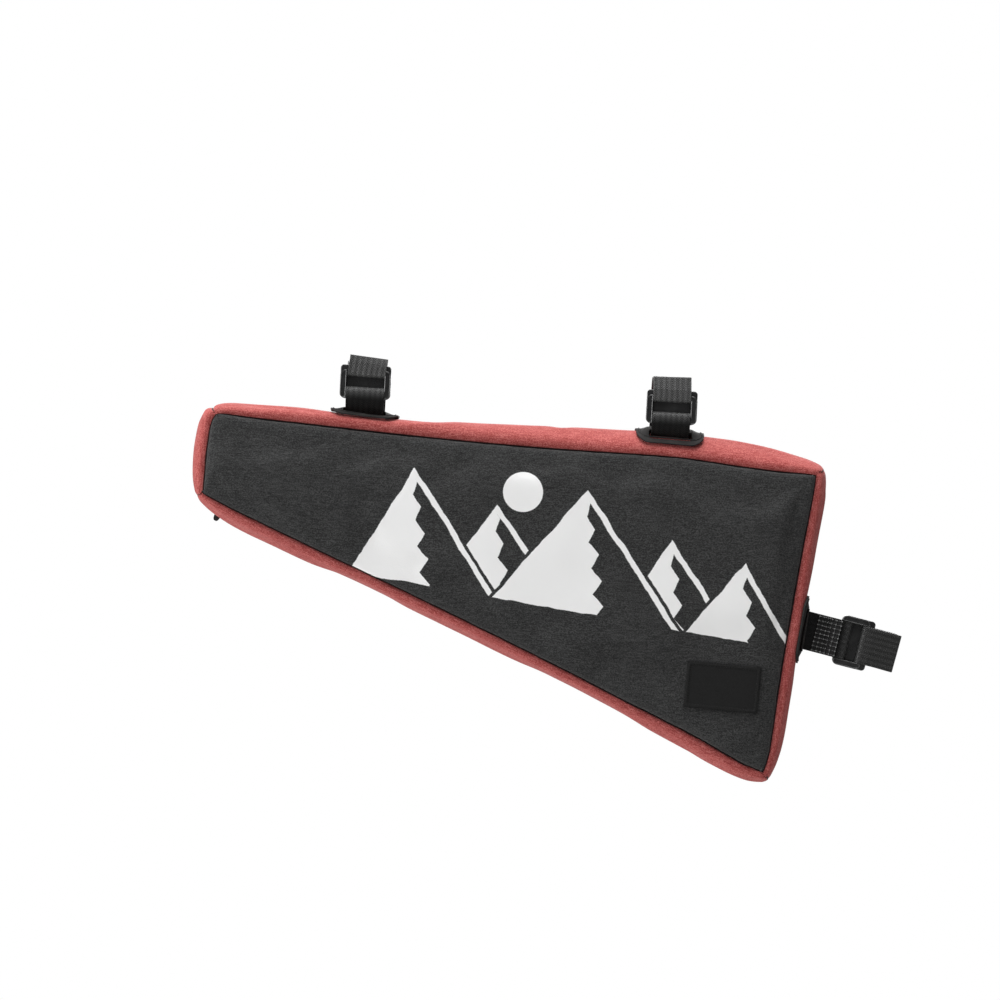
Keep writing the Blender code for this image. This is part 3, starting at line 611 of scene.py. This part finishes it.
skin = {
    "puffFrames": 20,
    "fabric": {
        "quality": 5,
        "mass": 0.15,
        "tension_stiffness": 20,
        "compression_stiffness": 20,
        "shear_stiffness": 8,
        "bending_stiffness": 0.6,
        "vertex_group_mass": "seam",
        "shrink_min": -0.012,
        "use_pressure": True,
        "uniform_pressure_force": 1.1,
    },
    "panelPuff": 1.3 * mm,
    "bandPuff": 0.6 * mm,
    "seamHold": 13 * mm,
    "wall": 1.4 * mm,
    "rimRounding": 0.35 * mm,
    "seamReach": 4.4 * mm,
    "seamDepth": 1.7 * mm,
    "endDepth": 0.9 * mm,
    "cordRadius": 0.85 * mm,
    "cordSunk": 0.75 * mm,
    "undulation": 0.5 * mm,
    "undulationPitch": 32 * mm,
    "undulationReach": 14 * mm,
    "puckerShare": 0.35,
    "puckerPitch": 7 * mm,
    "patchStill": 22 * mm,
    "fittingStill": 29 * mm,
    "stillFade": 14 * mm,
    "facingLeast": 0.8,
    "crosswise": 0.7,
    "sharpness": 62,
}


def keepSkin(piece, facing):  # keeps the smooth skin that looks along facing
    facing = Vector(facing)
    faces = [f for f in piece.data.polygons if f.normal.dot(facing) > skin["facingLeast"]]
    seed = max(faces, key=lambda f: f.center.dot(facing)).index
    startEdit(piece)
    endEdit()
    piece.data.polygons[seed].select = True
    bpy.ops.object.mode_set(mode="EDIT")
    bpy.ops.mesh.faces_select_linked_flat(sharpness=math.radians(skin["sharpness"]))
    bpy.ops.mesh.select_all(action="INVERT")
    bpy.ops.mesh.delete(type="FACE")
    endEdit()


def edgeFacings(piece):  # the normals of the faces at each edge
    facings = {}
    for face in piece.data.polygons:
        for key in face.edge_keys:
            facings.setdefault(key, []).append(face.normal.copy())
    return facings


def boundaryEdges(piece):
    return [key for key, pair in edgeFacings(piece).items() if len(pair) == 1]


def boundaryPoints(piece):
    return sorted({k for key in boundaryEdges(piece) for k in key})


def followRing(edges):  # the points of one closed run of edges, in turn
    links = {}
    for a, b in edges:
        links.setdefault(a, []).append(b)
        links.setdefault(b, []).append(a)
    ring, previous, following = [], None, min(links)
    while following not in ring[:1] and len(ring) <= len(links):
        ring.append(following)
        following = next(k for k in links[ring[-1]] if k != previous)
        previous = ring[-1]
    return ring


def newGrid(name, columns, rows):
    bpy.ops.object.select_all(action="DESELECT")
    bpy.ops.mesh.primitive_grid_add(x_subdivisions=columns, y_subdivisions=rows, size=1)
    piece = bpy.context.object
    piece.name = name
    return piece


def beadAlong(name, line, radius):  # a round bead that closes on itself
    curve = bpy.data.curves.new(name, "CURVE")
    curve.dimensions = "3D"
    curve.bevel_depth = radius
    curve.bevel_resolution = 1
    spline = curve.splines.new("POLY")
    spline.points.add(len(line) - 1)
    for point, place in zip(spline.points, line):
        point.co = (*place, 1)
    spline.use_cyclic_u = True
    solo(newObject(name, curve))
    bpy.ops.object.convert(target="MESH")
    return smooth(bpy.context.object, 80)


def finderOf(mesh, chosen):
    finder = KDTree(len(chosen))
    for k in chosen:
        finder.insert(mesh.vertices[k].co, k)
    finder.balance()
    return finder


def puff(piece, most, still):  # fades out towards the seams and where still says so, 0 to 1
    rest = points(piece)
    boundary = boundaryPoints(piece)
    seam = finderOf(piece.data, boundary)
    piece.vertex_groups.new(name="seam").add(boundary, 1.0, "REPLACE")
    solo(piece)
    bpy.ops.object.modifier_add(type="CLOTH")
    cloth = piece.modifiers[-1]
    for key, value in skin["fabric"].items():
        setattr(cloth.settings, key, value)
    cloth.settings.effector_weights.gravity = 0
    cloth.point_cache.frame_start = 1
    cloth.point_cache.frame_end = skin["puffFrames"]
    for step in range(1, skin["puffFrames"] + 1):
        bpy.context.scene.frame_set(step)
    bpy.ops.object.modifier_apply(modifier=cloth.name)
    bpy.context.scene.frame_set(1)
    moved = points(piece) - rest
    size = np.linalg.norm(moved, axis=1, keepdims=True)
    held = np.where(size > 0, most * np.tanh(size / most) / np.maximum(size, 1e-9), 0)
    inside = np.array([min(1, seam.find(p)[2] / skin["seamHold"]) for p in rest])
    freedom = np.array([still(Vector(p)) for p in rest]) * ease(inside)
    setPoints(piece, rest + moved * held * freedom[:, None])


def sinkSeams(piece, isBand):  # rolls the cloth into its seams unevenly, and less at a band's ends
    mesh = piece.data
    finder = finderOf(mesh, boundaryPoints(piece))
    place = points(piece)
    ends = set()
    for a, b in boundaryEdges(piece) if isBand else ():
        run = (mesh.vertices[a].co - mesh.vertices[b].co).normalized()
        if abs(run.y) > skin["crosswise"]:
            ends.update((a, b))
    for k, vertex in enumerate(mesh.vertices):
        _, nearest, inside = finder.find(vertex.co)
        reach = inside / skin["seamReach"]
        swell = noise.noise(vertex.co / skin["undulationPitch"]) * skin["undulation"]
        place[k] += np.array(vertex.normal) * swell * min(1, inside / skin["undulationReach"])
        if reach < 1:
            pucker = noise.noise(vertex.co / skin["puckerPitch"]) * skin["puckerShare"]
            depth = skin["endDepth" if nearest in ends else "seamDepth"]
            place[k] -= np.array(vertex.normal) * depth * (1 - reach) ** 2 * (1 + pucker)
    setPoints(piece, place)


def freedomBeyond(spots, still):  # nothing moves within still of a spot
    def freedom(place):
        nearest = min((place - spot).length for spot in spots)
        return min(1.0, max(0.0, (nearest - still) / skin["stillFade"]))
    return freedom


shellRows = (  # name, node, the way it faces, finish
    ("nearPanel", "near_panel", (0, -1, 0), "print"),
    ("farPanelUpper", "far_panel_upper", (0, 1, 0), "panel"),
    ("farPanelLower", "far_panel_lower", (0, 1, 0), "panel"),
    ("topBand", "gusset_top", (0, 0, 1), "top"),
    ("rearBand", "gusset_rear", (1, 0, 0), "rear"),
    ("bottomBand", "gusset_bottom", (0, 0, -1), "bottom"),
    ("frontBand", "gusset_front", (-1, 0, 0), "front"),
)


def makeShells(finishes):
    patches = [nodeMiddle(side + "_patch") for side in sides]
    fittings = [nodeMiddle("label_patch"), nodeMiddle("zip_pull")]
    nearPatches = freedomBeyond(patches, skin["patchStill"])
    nearFittings = freedomBeyond(fittings, skin["fittingStill"])
    made = {}
    for name, node, facing, finish in shellRows:
        isPanel = "Panel" in name
        slot = "panel_fabric" if isPanel else "band_fabric"
        piece = copyOfNode(node, name)
        keepSkin(piece, facing)
        subdivide(piece, 2)
        if isPanel:
            puff(piece, skin["panelPuff"], nearFittings)
        else:
            puff(piece, skin["bandPuff"], nearPatches)
        subdivide(piece, 1)
        sinkSeams(piece, not isPanel)
        if not isPanel:
            # a dark cord sunk in each band seam stands for the seam's shade: painted shade
            ring = [piece.data.vertices[k] for k in followRing(boundaryEdges(piece))]
            cord = [vertex.co - vertex.normal * skin["cordSunk"] for vertex in ring]
            bead = beadAlong(name + "SeamShadeCord", cord, skin["cordRadius"])
            dress(bead, finishes["cord"], slot)
        thicken(piece, skin["wall"], skin["rimRounding"])
        smooth(piece)
        dress(piece, finishes[finish], slot, node)
        made[name] = piece
    print("shells made")
    return made


lining = {"halfDepth": 20.5 * mm, "wall": 0.8 * mm, "rounding": 0.25 * mm, "spacing": 0.9 * mm}


def makeLining(finish):  # the dark lining behind the seams, so that no gap shows light
    piece = copyOfNode("near_panel", "innerLining")
    keepSkin(piece, (0, -1, 0))
    place = points(piece)
    place[:, 1] = -lining["halfDepth"]
    setPoints(piece, place)
    startEdit(piece, "FACE", "SELECT")
    bpy.ops.mesh.region_to_loop()
    bpy.ops.mesh.select_mode(type="VERT")
    bpy.ops.mesh.select_all(action="INVERT")
    bpy.ops.mesh.delete(type="VERT")
    bpy.ops.mesh.select_all(action="SELECT")
    bpy.ops.mesh.remove_doubles(threshold=lining["spacing"])
    bpy.ops.mesh.edge_face_add()
    bpy.ops.mesh.extrude_region_move(TRANSFORM_OT_translate={"value": (0, 2 * lining["halfDepth"], 0)})
    bpy.ops.mesh.select_all(action="SELECT")
    bpy.ops.mesh.normals_make_consistent(inside=False)
    endEdit()
    thicken(piece, lining["wall"], lining["rounding"])
    smooth(piece, 40)
    dress(piece, finish, "panel_fabric")
    print("lining made")


# Straps: each follows its node's run as a woven band with rounded edges and a map along its length

strap = {
    "width": 22 * mm,
    "wall": 1.3 * mm,
    "longest": 1.6 * mm,
    "columns": 8,
    "edgeFrom": 10 * mm,
    "edge": 0.34 * mm,
    "waver": 0.16 * mm,
    "waverPitch": 9 * mm,
    "lean": {"front": 2.6 * mm, "rear": 4.0 * mm, "seat": 2.0 * mm},
    "leanFrom": -11 * mm,
    "leanTo": -21 * mm,
    "leanSpan": 15 * mm,
    "skew": {"front": (1.5 * mm, 2.9 * mm), "rear": (-0.4 * mm, 0.3 * mm), "seat": (0.3 * mm, 0.4 * mm)},
    "skewRun": 13 * mm,
}


def loopAxes(side):
    mount = next(m for m in frame["record"]["mounts"] if m["name"] == side + "_strap_seat")
    away = -Vector(mount["axis"])
    return Vector((away.z, 0, -away.x)), away


def cutEdgeLine(guide, aside, away, sign):  # the middle of one cut edge of the strap, from flap to tail
    place = points(guide)
    across = place @ np.array(aside)
    centre = (across.min() + across.max()) / 2
    column = set(np.flatnonzero(sign * (across - centre) > strap["edgeFrom"]).tolist())
    ring = place[followRing([
        (a, b) for (a, b), pair in edgeFacings(guide).items()
        if a in column and b in column and pair[0].dot(pair[-1]) < 0.5
    ])]
    count = len(ring)
    half = range(count // 2)

    def runsFrom(start):  # both ways round the ring
        return ring[[(start + k) % count for k in half]], ring[[(start - 1 - k) % count for k in half]]

    def unevenness(start):
        ahead, back = runsFrom(start)
        return np.abs(np.linalg.norm(ahead - back, axis=1) - strap["wall"]).sum()

    ahead, back = runsFrom(min(range(count), key=unevenness))
    line = (ahead + back) / 2
    up = np.array(away)
    return line[::-1] if line[0] @ up > line[-1] @ up else line


def denser(lines):  # adds stations on long straight runs, the same ones on both edges
    result = [[], []]
    for k in range(len(lines[0]) - 1):
        steps = max(1, math.ceil(np.linalg.norm(lines[0][k + 1] - lines[0][k]) / strap["longest"]))
        for edge, line in zip(result, lines):
            edge += [line[k] + (line[k + 1] - line[k]) * s / steps for s in range(steps)]
    for edge, line in zip(result, lines):
        edge.append(line[-1])
    return np.array(result[0]), np.array(result[1])


def makeStraps(finishes):
    made = {}
    for side in sides:
        aside, away = loopAxes(side)
        guide = copyOfNode(side + "_strap", "strapGuide", quads=False)
        low, high = denser([cutEdgeLine(guide, aside, away, -1), cutEdgeLine(guide, aside, away, 1)])
        bpy.data.objects.remove(guide)
        lengths = np.linalg.norm(np.diff((low + high) / 2, axis=0), axis=1)
        along = np.concatenate(([0], np.cumsum(lengths)))
        piece = newGrid(side + "Strap", strap["columns"], len(low) - 1)
        flat = points(piece)
        share = flat[:, 0] + 0.5
        station = np.rint((flat[:, 1] + 0.5) * (len(low) - 1)).astype(int)
        setPoints(piece, low[station] * (1 - share)[:, None] + high[station] * share[:, None])
        layer = piece.data.uv_layers[0]
        layer.name = "webbing"
        corners = np.empty(len(piece.data.loops), dtype=np.int32)
        piece.data.loops.foreach_get("vertex_index", corners)
        unrolled = np.stack([share * strap["width"], along[station]], axis=1)
        layer.data.foreach_set("uv", unrolled[corners].ravel())
        pitch = strap["waverPitch"]
        waver = [v.normal * noise.noise(v.co / pitch) * strap["waver"] for v in piece.data.vertices]
        place = points(piece) + np.array(waver)
        rise = (place - np.array(nodeMiddle(side + "_buckle"))) @ np.array(away)
        lean = np.clip((rise - strap["leanFrom"]) / (strap["leanTo"] - strap["leanFrom"]), 0, 1)
        hand = np.clip(-place[:, 1] / strap["leanSpan"], -1, 1)
        place[:, 1] += hand * ease(lean) * strap["lean"][side]
        slip, raised = strap["skew"][side]
        end = ease(np.clip(1 - (along[-1] - along[station]) / strap["skewRun"], 0, 1))
        place += np.outer(end * slip, np.array(aside)) + np.outer(end * (1 - share) * raised, np.array(away))
        setPoints(piece, place)
        thicken(piece, strap["wall"], strap["edge"], centred=True)
        subdivide(piece, 1)
        smooth(piece, 60)
        dress(piece, finishes[side], "webbing", side + "_strap")
        made[side] = piece
    print("straps made")
    return made


# Sewing: one stitch, repeated along a line that lies on a surface

rayStart = 40 * mm
stitch = {"length": 2.3 * mm, "width": 0.5 * mm, "rise": 0.32 * mm}


def sewLine(name, seats, length, width, rise):  # seats are (place, direction, normal)
    bpy.ops.mesh.primitive_uv_sphere_add(segments=6, ring_count=5, radius=0.5, scale=(width, rise, length))
    pattern = settle(bpy.context.object)
    copies = []
    for at, direction, normal in seats:
        direction = (direction - normal * direction.dot(normal)).normalized()
        axes = Matrix((direction.cross(normal), normal, direction)).transposed().to_4x4()
        twin = newObject(name, pattern.data.copy())
        twin.matrix_world = Matrix.Translation(at) @ axes
        copies.append(twin)
    bpy.data.objects.remove(pattern)
    return smooth(settle(joined(copies)), 80)


def spread(line, pitch, closed):  # evenly spaced (place, direction) along a line of points
    ring = [*line, *line[:closed]]
    lengths = [0.0]
    for a, b in zip(ring, ring[1:]):
        lengths.append(lengths[-1] + (b - a).length)
    count = max(2, round(lengths[-1] / pitch))
    spots = []
    for k in range(count):
        want = lengths[-1] * (k + 0.5) / count
        n = max(i for i in range(len(lengths) - 1) if lengths[i] <= want)
        run = ring[n + 1] - ring[n]
        spots.append((ring[n] + run * ((want - lengths[n]) / max(run.length, 1e-9)), run.normalized()))
    return spots


def seatOn(tree, spots, down, lift):  # drops each spot onto a surface along down
    seats = []
    for place, direction in spots:
        hit, normal, _, _ = tree.ray_cast(place - down * rayStart, down)
        if hit is not None:
            if normal.dot(down) > 0:
                normal = -normal
            seats.append((hit + normal * lift, direction, normal))
    return seats


def roundedRectangle(halfLength, halfHeight, radius, steps=5):
    ring = []
    for quarter, (x, y) in enumerate(((1, 1), (-1, 1), (-1, -1), (1, -1))):
        for k in range(steps + 1):
            bend = math.pi / 2 * quarter + math.pi / 2 * k / steps
            ring.append((
                x * (halfLength - radius) + radius * math.cos(bend),
                y * (halfHeight - radius) + radius * math.sin(bend),
            ))
    return ring


# Patches: die-cut plates with softened edges and a raised welt inside the rim

patch = {
    "lift": {"front": 1.1 * mm, "rear": 0.8 * mm, "seat": 0.0},
    "rounding": 0.22 * mm,
    "liftFrom": 4 * mm,
    "liftTo": 15 * mm,
    "welt": 0.42 * mm,
    "weltPitch": 1.6 * mm,
    "weltRing": (18.2 * mm, 22.7 * mm, 5.5 * mm),  # half length, half reach, corner
}


def laidRing(surface, side, ring):  # a ring given in the loop's own axes, dropped onto the patch
    aside, away = loopAxes(side)
    middle = nodeMiddle(side + "_patch")
    line = [middle + aside * x + Vector((0, y, 0)) for x, y in ring]
    return [place for place, _, _ in seatOn(surface, spread(line, patch["weltPitch"], True), -away, 0)]


def makePatches(finish):
    for side in sides:
        piece = copyOfNode(side + "_patch", side + "Patch")
        roundEdges(piece, patch["rounding"], 2, 55)
        subdivide(piece, 1)
        place = points(piece)
        run = patch["liftTo"] - patch["liftFrom"]
        rise = np.clip((np.abs(place[:, 1]) - patch["liftFrom"]) / run, 0, 1)
        place += np.outer(ease(rise) * patch["lift"][side], np.array(loopAxes(side)[1]))
        setPoints(piece, place)
        smooth(piece, 50)
        dress(piece, finish, "patch_rubber", side + "_patch")
        surface = treeOf(piece)
        rim = roundedRectangle(*patch["weltRing"])
        welt = beadAlong(side + "PatchWelt", laidRing(surface, side, rim), patch["welt"])
        dress(welt, finish, "patch_rubber")
    print("patches made")


# Buckles: a plate with two windows and a raised cheek at each side

buckle = {
    "plateDepth": 3.0 * mm,
    "topCorner": 2.0 * mm,
    "lowCorner": 3.6 * mm,
    "windowHalf": 11.0 * mm,
    "barHeight": 5.55 * mm,
    "centreBar": 6.4 * mm,
    "barDepth": 1.4 * mm,
    "barBack": 0.7 * mm,
    "barHold": 0.7 * mm,
    "cheekHeight": 16.6 * mm,
    "cheekDrop": 1.35 * mm,
    "cheekDepth": 5.2 * mm,
    "cheekCorner": 3.0 * mm,
    "proud": 0.05 * mm,
    "bead": 0.42 * mm,
    "beadSunk": 0.126 * mm,
    "edge": 0.45 * mm,
}
tolerance = 0.1 * mm


def block(length, depth, height, place=(0, 0, 0)):
    bpy.ops.mesh.primitive_cube_add(size=1, location=place, scale=(length, depth, height))
    return settle(bpy.context.object)


def roundUprights(piece, width, test):  # rounds the edges that run through the depth
    startEdit(piece, "EDGE")
    endEdit()
    mesh = piece.data
    for edge in mesh.edges:
        a, b = (mesh.vertices[k].co for k in edge.vertices)
        edge.select = abs(a.y - b.y) > 10 * tolerance and abs(a.x - b.x) < tolerance and test((a + b) / 2)
    bpy.ops.object.mode_set(mode="EDIT")
    bpy.ops.mesh.bevel(offset=width, segments=6, affect="EDGES")
    endEdit()


def cheekRing(across, width, height, drop, side):  # a cheek's outline, rounded at its outer corners
    inset, corner = buckle["bead"], buckle["cheekCorner"]
    inner, outer = across - side * (width / 2 - inset), across + side * (width / 2 - inset)
    ring = [Vector((inner, 0, -drop - height / 2 + inset))]
    reach = corner - inset
    for sign, steps in ((-1, range(7)), (1, range(6, -1, -1))):
        for k in steps:
            bend = math.pi / 2 * k / 6
            ring.append(Vector((
                outer - side * reach * (1 - math.sin(bend)),
                0,
                -drop + sign * (height / 2 - inset - reach * (1 - math.cos(bend))),
            )))
    ring.append(Vector((inner, 0, -drop + height / 2 - inset)))
    return ring


def makeBuckle(length, height):
    plate = block(length, buckle["plateDepth"], height)
    roundUprights(plate, buckle["topCorner"], lambda place: place.z > 0)
    roundUprights(plate, buckle["lowCorner"], lambda place: place.z < tolerance - height / 2)
    cut(plate, block(2 * buckle["windowHalf"], 3 * buckle["plateDepth"], height - 2 * buckle["barHeight"]))
    width = length / 2 - buckle["windowHalf"] + 2 * buckle["proud"]
    barLength = 2 * (buckle["windowHalf"] + buckle["barHold"])
    bar = block(barLength, buckle["barDepth"], buckle["centreBar"], (0, buckle["barBack"], 0))
    parts, beads = [plate, bar], []
    for side in (-1, 1):
        across = side * (length / 2 + buckle["windowHalf"]) / 2
        cheek = block(width, buckle["cheekDepth"], buckle["cheekHeight"], (across, 0, -buckle["cheekDrop"]))
        roundUprights(cheek, buckle["cheekCorner"], lambda place: side * place.x > length / 2 - tolerance)
        parts.append(cheek)
        front = Vector((0, buckle["beadSunk"] - buckle["cheekDepth"] / 2, 0))
        ring = cheekRing(across, width, buckle["cheekHeight"], buckle["cheekDrop"], side)
        beads.append(beadAlong("cheekRim", [place + front for place in ring], buckle["bead"]))
    for part in parts:
        roundEdges(part, buckle["edge"], 3, 50)
    return joined(parts), beads


def makeBuckles(finishes):
    for side in sides:
        node = side + "_buckle"
        aside, away = loopAxes(side)
        place = points(frame["nodes"][node])
        length, height = (float(np.ptp(place @ np.array(axis))) for axis in (aside, away))
        piece, beads = makeBuckle(length, height)
        axes = Matrix((aside, inward, away)).transposed().to_4x4()
        for part in (piece, *beads):
            part.matrix_world = Matrix.Translation(nodeMiddle(node)) @ axes
            settle(part)
            smooth(part, 40)
        piece.name = side + "Buckle"
        dress(piece, finishes["body"], "buckle_plastic", node)
        for number, part in enumerate(beads, 1):
            part.name = side + "CheekRim" + str(number)
            # the rims take the lighter nylon, a painted highlight along the cheeks
            dress(part, finishes["rim"], "buckle_plastic")
    print("buckles made")


# Label: a woven rectangle with an overlocked border

label = {
    "borderPitch": 0.62 * mm,
    "borderWidth": 2.3 * mm,
    "borderRise": 0.5 * mm,
    "borderSway": 0.18,
    "tilt": 5.5,
    "halfLength": 21.5 * mm,
    "halfHeight": 13.5 * mm,
    "cornerRadius": 1.2 * mm,
    "rounding": 0.12 * mm,
    "margin": 0.1 * mm,
    "lift": 0.05 * mm,
}


def makeLabel(finish, thread):
    piece = copyOfNode("label_patch", "wovenLabel")
    roundEdges(piece, label["rounding"], 2, 55)
    subdivide(piece, 2)
    smooth(piece, 50)
    dress(piece, finish, "label_weave", "label_patch")
    middle = nodeMiddle("label_patch")
    right, _, up = Matrix.Rotation(math.radians(label["tilt"]), 3, "Y").col
    inset = label["borderWidth"] / 2 + label["margin"]
    ring = roundedRectangle(label["halfLength"] - inset, label["halfHeight"] - inset, label["cornerRadius"])
    line = [middle + right * x + up * z for x, z in ring]
    seats = seatOn(treeOf(piece), spread(line, label["borderPitch"], True), inward, label["lift"])
    crossed = []
    for k, (place, direction, normal) in enumerate(seats):
        lean = label["borderSway"] * math.sin(k * 2.4)
        crossed.append((place, direction.cross(normal) + direction * lean, normal))
    border = sewLine("labelBorder", crossed, label["borderWidth"], label["borderPitch"], label["borderRise"])
    dress(border, thread, "label_weave")
    print("label made")


# Zip: tape, two rows of interlocked coil, slider and pull

zipper = {
    "stations": 17,
    "toothPitch": 1.45 * mm,
    "toothLength": 2.7 * mm,
    "toothWidth": 0.95 * mm,
    "toothRise": 1.3 * mm,
    "toothSlant": 0.12,
    "toothLift": 0.1 * mm,
    "rowGap": 1.15 * mm,
    "hemOffset": 7.8 * mm,
    "hemPitch": 3.1 * mm,
    "hemLift": 0.02 * mm,
    "tapeRounding": 0.2 * mm,
    "bodyRounding": 0.7 * mm,
    "pullRounding": 0.3 * mm,
    "pullPivot": (-160 * mm, 33 * mm, -34 * mm),
    "pullStretch": 1.12,
    "pullSwing": 5.5,
}


def zipLine():  # the coil's middle, read from the tape node's stations
    tape = copyOfNode("zip_tape", "tapeGuide")
    place = points(tape)
    bpy.data.objects.remove(tape)
    place = place[np.argsort(place[:, 0])]
    groups = np.array_split(place, zipper["stations"])
    return [Vector((g[:, 0].mean(), g[:, 1].max(), g[:, 2].mean())) for g in groups]


def makeZip(shells, finishes):
    piece = copyOfNode("zip_tape", "zipTape")
    roundEdges(piece, zipper["tapeRounding"], 2, 50)
    smooth(piece, 40)
    dress(piece, finishes["tape"], "zip_nylon", "zip_tape")
    surface = treeOf(piece)
    line = zipLine()
    seats = []
    for row in (-1, 1):
        for place, direction in spread(line, zipper["toothPitch"], False):
            shifted = place + direction * (row * zipper["toothPitch"] / 4)
            across = direction.cross(inward).normalized()
            spot = shifted + across * row * zipper["rowGap"]
            hit = surface.ray_cast(spot + inward * rayStart, -inward)[0]
            if hit is not None:
                slanted = across + direction * zipper["toothSlant"] * row
                seats.append((hit + inward * zipper["toothLift"], slanted, inward))
    for row, panel in ((1, "farPanelUpper"), (-1, "farPanelLower")):
        hem = []
        for place, direction in spread(line, zipper["hemPitch"], False):
            across = direction.cross(inward).normalized()
            hem.append((place + across * row * zipper["hemOffset"], direction))
        hemSeats = seatOn(treeOf(shells[panel]), hem, -inward, zipper["hemLift"])
        stitches = sewLine(panel + "Hem", hemSeats, stitch["length"], stitch["width"], stitch["rise"])
        dress(stitches, finishes["thread"], "panel_fabric")
    coil = sewLine("zipCoil", seats, zipper["toothLength"], zipper["toothWidth"], zipper["toothRise"])
    dress(coil, finishes["coil"], "zip_nylon")
    print("zip made")


def makeSlider(finishes):
    body = copyOfNode("zip_slider", "zipSlider")
    roundEdges(body, zipper["bodyRounding"], 3, 40)
    smooth(body, 40)
    dress(body, finishes["metal"], "slider_metal", "zip_slider")
    pull = copyOfNode("zip_pull", "zipPull")
    pivot = Vector(zipper["pullPivot"])
    swing = Matrix.Rotation(math.radians(zipper["pullSwing"]), 3, "Y") * zipper["pullStretch"]
    setPoints(pull, [pivot + swing @ (Vector(p) - pivot) for p in points(pull)])
    roundEdges(pull, zipper["pullRounding"], 2, 40)
    smooth(pull, 40)
    dress(pull, finishes["pull"], "patch_rubber", "zip_pull")
    print("slider made")


# Hook tape on the seat strap: an open grid of small ribs with a bead at each crossing

hookTape = {
    "fromBuckle": (-37.9, -15.9),  # pixels
    "columns": 5,
    "rows": 8,
    "halfWidth": 10 * mm,
    "ground": 0.4 * mm,
    "rounding": 0.1 * mm,
    "rib": 0.65 * mm,
    "ribLength": 2.9 * mm,
    "bead": 1.1 * mm,
    "lifts": {"ground": 0.22 * mm, "rib": 0.5 * mm, "bead": 0.75 * mm},
}


def makeHookTape(seatStrap, finishes):
    aside, away = loopAxes("seat")
    middle = nodeMiddle("seat_buckle")
    surface = treeOf(seatStrap)
    first, last = (pixels * view["perPixel"] / away.x for pixels in hookTape["fromBuckle"])
    half = hookTape["halfWidth"]
    columns, rows = range(hookTape["columns"] + 1), range(hookTape["rows"] + 1)

    def spot(column, row):
        along = first + (last - first) * column / hookTape["columns"]
        across = -half + 2 * half * row / hookTape["rows"]
        return middle + away * along + aside * across

    def laid(spots, part):
        return seatOn(surface, spots, inward, hookTape["lifts"][part])

    crossings = [(spot(column, row), away) for column in columns for row in rows]
    base = newGrid("hookBase", hookTape["rows"], hookTape["columns"])
    setPoints(base, [place for place, _, _ in laid(crossings, "ground")])
    thicken(base, hookTape["ground"], hookTape["rounding"], centred=True)
    # the ground takes the darker thread finish, a painted shade in the holes
    dress(smooth(base, 60), finishes["ground"], "webbing")
    bead, rib = hookTape["bead"], hookTape["rib"]
    ribs = [(spot(column, row + 0.5), aside) for column in columns for row in rows[:-1]]
    ribs += [(spot(column + 0.5, row), away) for row in rows for column in columns[:-1]]
    # the beads take the much lighter hook nylon, a painted glint on their heads
    dress(sewLine("hookBeads", laid(crossings, "bead"), bead, bead, bead), finishes["bead"], "webbing")
    dress(sewLine("hookRibs", laid(ribs, "rib"), hookTape["ribLength"], rib, rib), finishes["rib"], "webbing")
    print("hook tape made")


makeCamera()
makeStage()
cloth = makeCloths()
grainGroup = makeGrainGroup()
moulded = {row[0]: grainMaterial(grainGroup, *row) for row in grainFinishes}
rubber, nylon = moulded["patchSheet"], moulded["buckleNylon"]
print("finishes made")
shells = makeShells(cloth)
makeLining(cloth["panel"])
straps = makeStraps({side: makeWebbing(side) for side in sides})
makePatches(rubber)
makeBuckles({"body": nylon, "rim": moulded["rimPaintedHighlight"]})
makeLabel(makeLabelWeave(), cloth["thread"])
makeZip(shells, {"tape": cloth["panel"], "coil": moulded["coilNylon"], "thread": cloth["thread"]})
makeSlider({"metal": moulded["lacqueredSlider"], "pull": rubber})
makeHookTape(straps["seat"], {"ground": cloth["thread"], "rib": nylon, "bead": moulded["hookNylonPaintedGlint"]})
